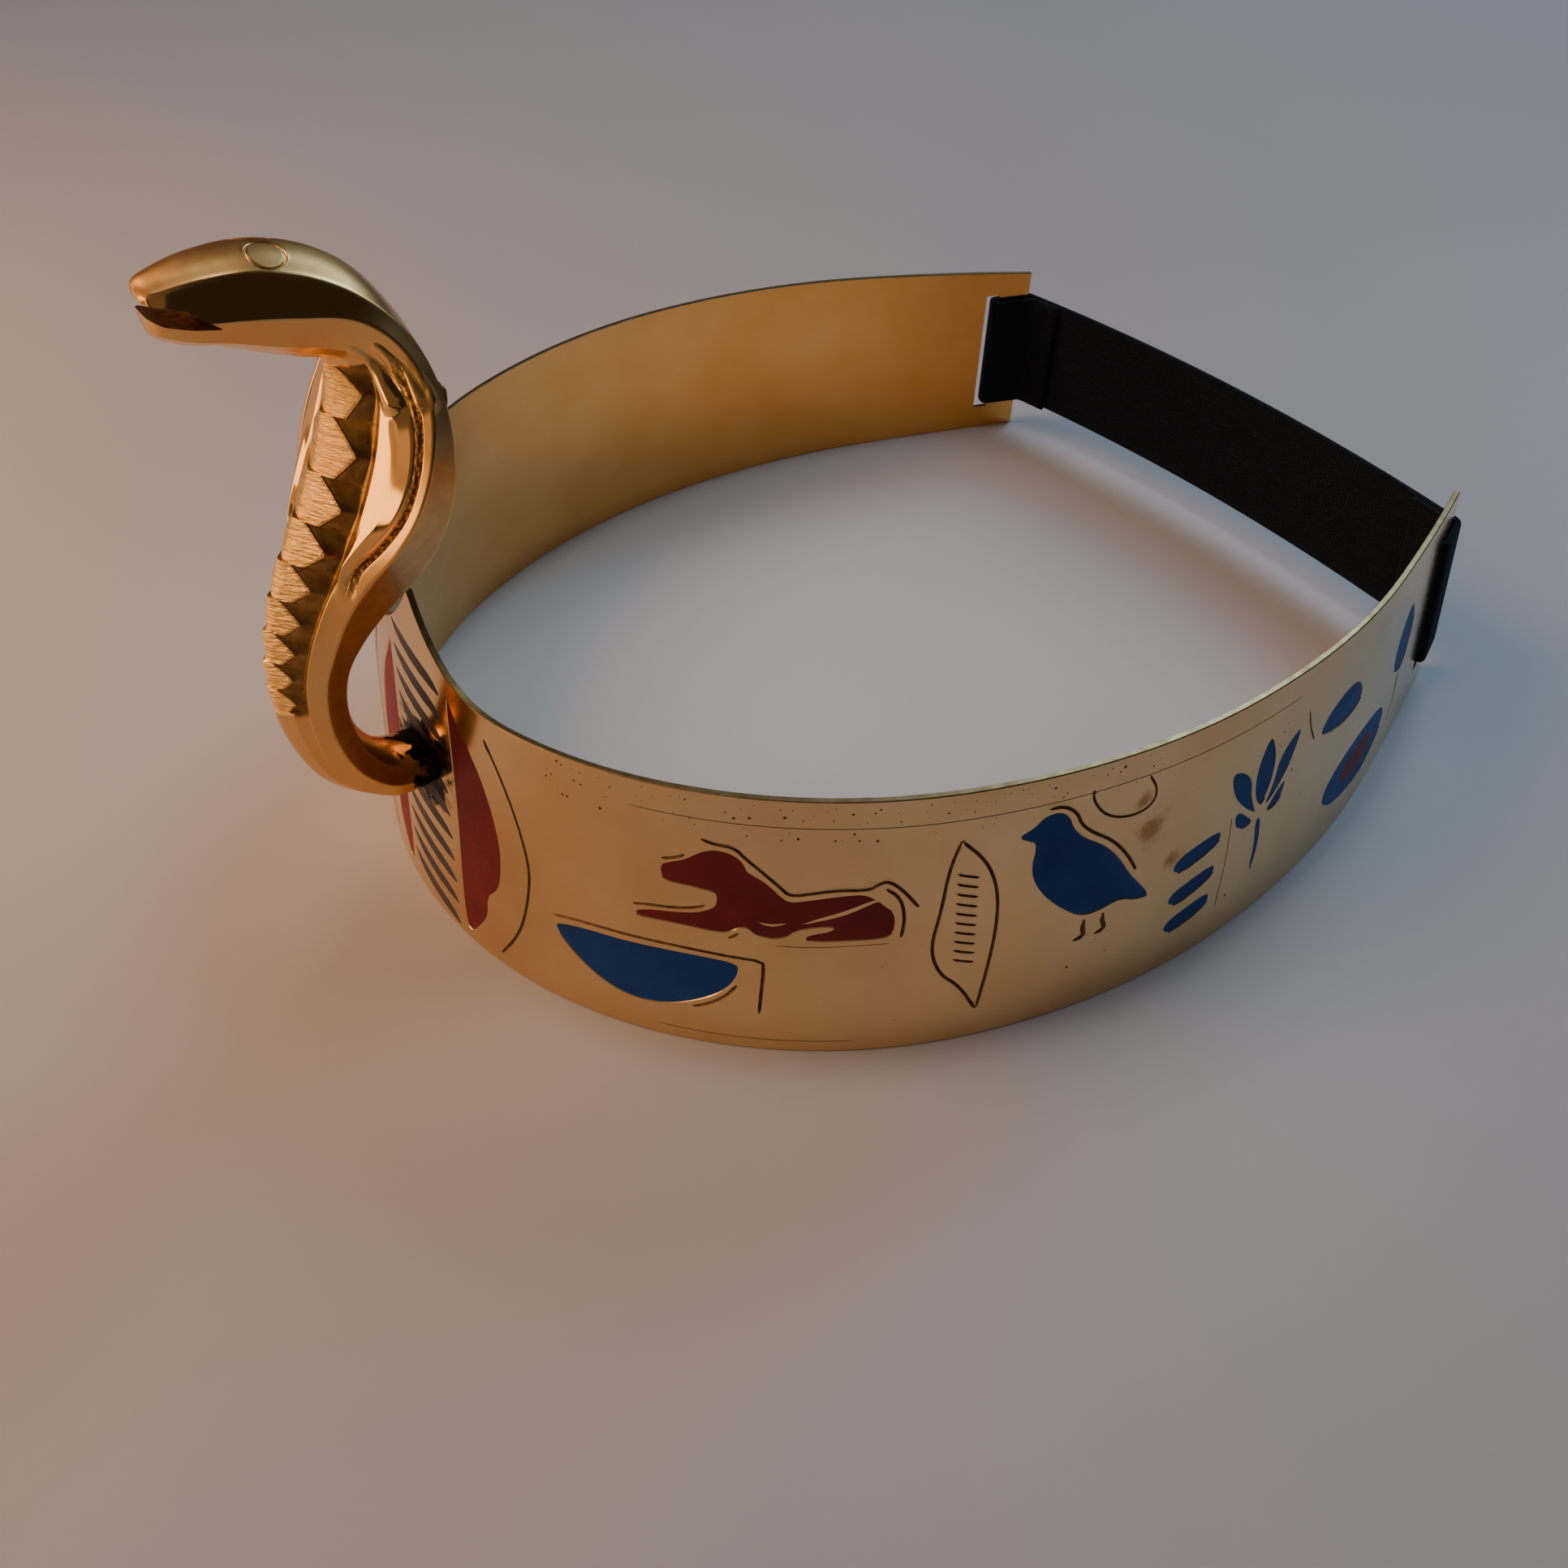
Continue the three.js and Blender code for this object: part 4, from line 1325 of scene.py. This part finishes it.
def elastic_look():
    look = Look(
        "black_elastic", Roughness=0.9, Specular_IOR_Level=0.2, Sheen_Weight=0.03, Sheen_Roughness=0.5)
    parts = look.parts(look.flat("weave"))
    along, across = (
        look.math("SINE", look.times(parts[i], MM_PER_UV * 2 * math.pi / STITCH[i])) for i in range(2))
    knit = look.times(look.math("ABSOLUTE", across), look.level(along, -1, 1, 0.6, 1.0))
    fuzz = look.noise(look.place(), 2500.0, 3.0)
    look.to("Base Color", look.tones(look.times(knit, fuzz), KNIT_BLACK, 0.1))
    look.to("Normal", look.bump(fuzz, 0.3, 0.0001, look.bump(knit, 0.7, 0.0003)))
    return look.material


def floor_look():
    look = Look("paper", Roughness=0.85)
    spot = look.place()
    look.to("Base Color", look.tones(look.noise(spot, 4.0, 2.0), PAPER))
    ribs = look.noise(look.place("Object", (420, 12, 1), (0, 0, 0.9)), 1.0, 2.0)
    fibre = look.bump(look.noise(spot, 300.0, 4.0), 0.15, 0.0003)
    look.to("Normal", look.bump(ribs, 0.12, 0.0003, fibre))
    return look.material


def make_looks():
    edge = ((400.0,), (EDGE_BRASS,), (0.2, 0.8, 0.42, 0.34), (0.08, 0.0002))
    lines = ((900.0,), (LINE_BROWN, 0.3, 0.8), (0.2, 0.8, 0.4, 0.65))
    mouth = ((900.0, 4.0, 0.6), (MOUTH_BRASS,), (0.3, 0.7, 0.6, 0.42), (0.8, 0.0004))
    return {
        "plate": plate_look(),
        "inside": inside_look(),
        "edge": grain_look("band_edge", 1.0, *edge),
        "engraving": grain_look("engraved_lines", 0.6, *lines),
        **{kind: paint_look(kind + "_enamel", *tones) for kind, tones in PAINTS.items()},
        "cobra": cobra_look(),
        "mouth": grain_look("mouth_brass", 1.0, *mouth),
        "elastic": elastic_look(),
    }


# Room, measured to the right, away and up as the camera sees it

RIGHT = Vector((math.cos(AZIMUTH), math.sin(AZIMUTH), 0))
AWAY = Vector((-math.sin(AZIMUTH), math.cos(AZIMUTH), 0))
UP = Vector((0, 0, 1))
TABLE_HALF = 0.95
TABLE_NEAR = 0.5
TABLE_FAR = 1.3
ROOM_COLOUR = (0.10, 0.085, 0.08, 1)
ROOM_STRENGTH = 0.25
# Each light's name, place, aim, size, power, colour and spread in degrees
LIGHTS = (
    ("window", (0.55, 0.75, 0.8), (0, 0, 0.03), (0.5, 0.5), 4.9, (0.5, 0.75, 1.0), 180),
    ("lamp", (-0.55, 0, 0.62), (0, 0, 0.03), (0.4, 0.4), 2.15, (1.0, 0.58, 0.32), 180),
    ("low_sun", (-0.5, -0.08, 0.085), (0, 0, 0.085), (0.62, 0.1), 0.7, (1.0, 0.6, 0.26), 180),
    ("side", (-0.55, -0.1, 0.3), (0, 0, 0.1), (0.8, 0.32), 0.4, (1.0, 0.6, 0.34), 180),
    ("ceiling", (-0.3, -0.2, 1.0), (0, 0, 0.03), (0.6, 0.6), 0.62, (1.0, 0.9, 0.86), 180),
    ("wall", (-0.35, -0.95, 0.45), (0, 0, 0.1), (1.3, 0.9), 0.44, (1.0, 0.7, 0.45), 180),
    ("pool", (-0.02, 0.02, 0.5), (0, 0, 0), (0.1, 0.1), 0.02, (0.95, 1.0, 0.93), 30),
    ("glow", (-0.34, 0, 0.45), (-0.28, 0, 0), (0.2, 0.2), 0.16, (1.0, 0.5, 0.24), 70),
    ("day", (0.36, 0.08, 0.45), (0.22, 0, 0), (0.2, 0.2), 0.09, (0.45, 0.72, 1.0), 70),
)


def in_room(right, away, up):
    return RIGHT * right + AWAY * away + UP * up


def add_floor():
    sides = ((-1, -TABLE_NEAR), (1, -TABLE_NEAR), (1, TABLE_FAR), (-1, TABLE_FAR))
    mesh = bpy.data.meshes.new("floor")
    mesh.from_pydata([in_room(side * TABLE_HALF, away, 0) for side, away in sides], [], [(0, 1, 2, 3)])
    mesh.materials.append(floor_look())
    floor = bpy.data.objects.new("floor", mesh)
    bpy.context.scene.collection.objects.link(floor)


def add_light(name, place, aim, size, power, colour, spread):
    lamp = bpy.data.lights.new(name, "AREA")
    lamp.shape = "RECTANGLE"
    lamp.size, lamp.size_y = size
    lamp.energy = power
    lamp.color = colour
    lamp.spread = math.radians(spread)
    light = bpy.data.objects.new(name, lamp)
    bpy.context.scene.collection.objects.link(light)
    light.location = in_room(*place)
    light.rotation_euler = (in_room(*aim) - in_room(*place)).to_track_quat("-Z", "Y").to_euler()


def add_room():
    add_floor()
    world = bpy.data.worlds.new("room")
    world.use_nodes = True
    sky = world.node_tree.nodes["Background"]
    sky.inputs["Color"].default_value = ROOM_COLOUR
    sky.inputs["Strength"].default_value = ROOM_STRENGTH
    bpy.context.scene.world = world
    for light in LIGHTS:
        add_light(*light)


def add_camera():
    level_part = math.cos(ELEVATION)
    toward = Vector((
        math.sin(AZIMUTH) * level_part, -math.cos(AZIMUTH) * level_part, math.sin(ELEVATION)))
    upright = toward.cross(RIGHT)
    right = math.cos(ROLL) * RIGHT + math.sin(ROLL) * upright
    up = math.cos(ROLL) * upright - math.sin(ROLL) * RIGHT
    eye = toward * DISTANCE - right * TRACK_X - up * TRACK_Y
    lens = bpy.data.cameras.new("camera")
    lens.sensor_width = SENSOR
    lens.lens = SENSOR * FOCAL
    lens.clip_start = CLIP_NEAR
    camera = bpy.data.objects.new("camera", lens)
    bpy.context.scene.collection.objects.link(camera)
    turn = Matrix((right, up, toward)).transposed().to_4x4()
    place = (eye + Vector((0, FRONT_Y, 0))) * MM
    camera.matrix_world = Matrix.Translation(place) @ turn
    bpy.context.scene.camera = camera


looks = make_looks()
build_band(looks)
build_cobra(looks)
elastic, elastic_length = build_strap(looks)
add_room()
add_camera()
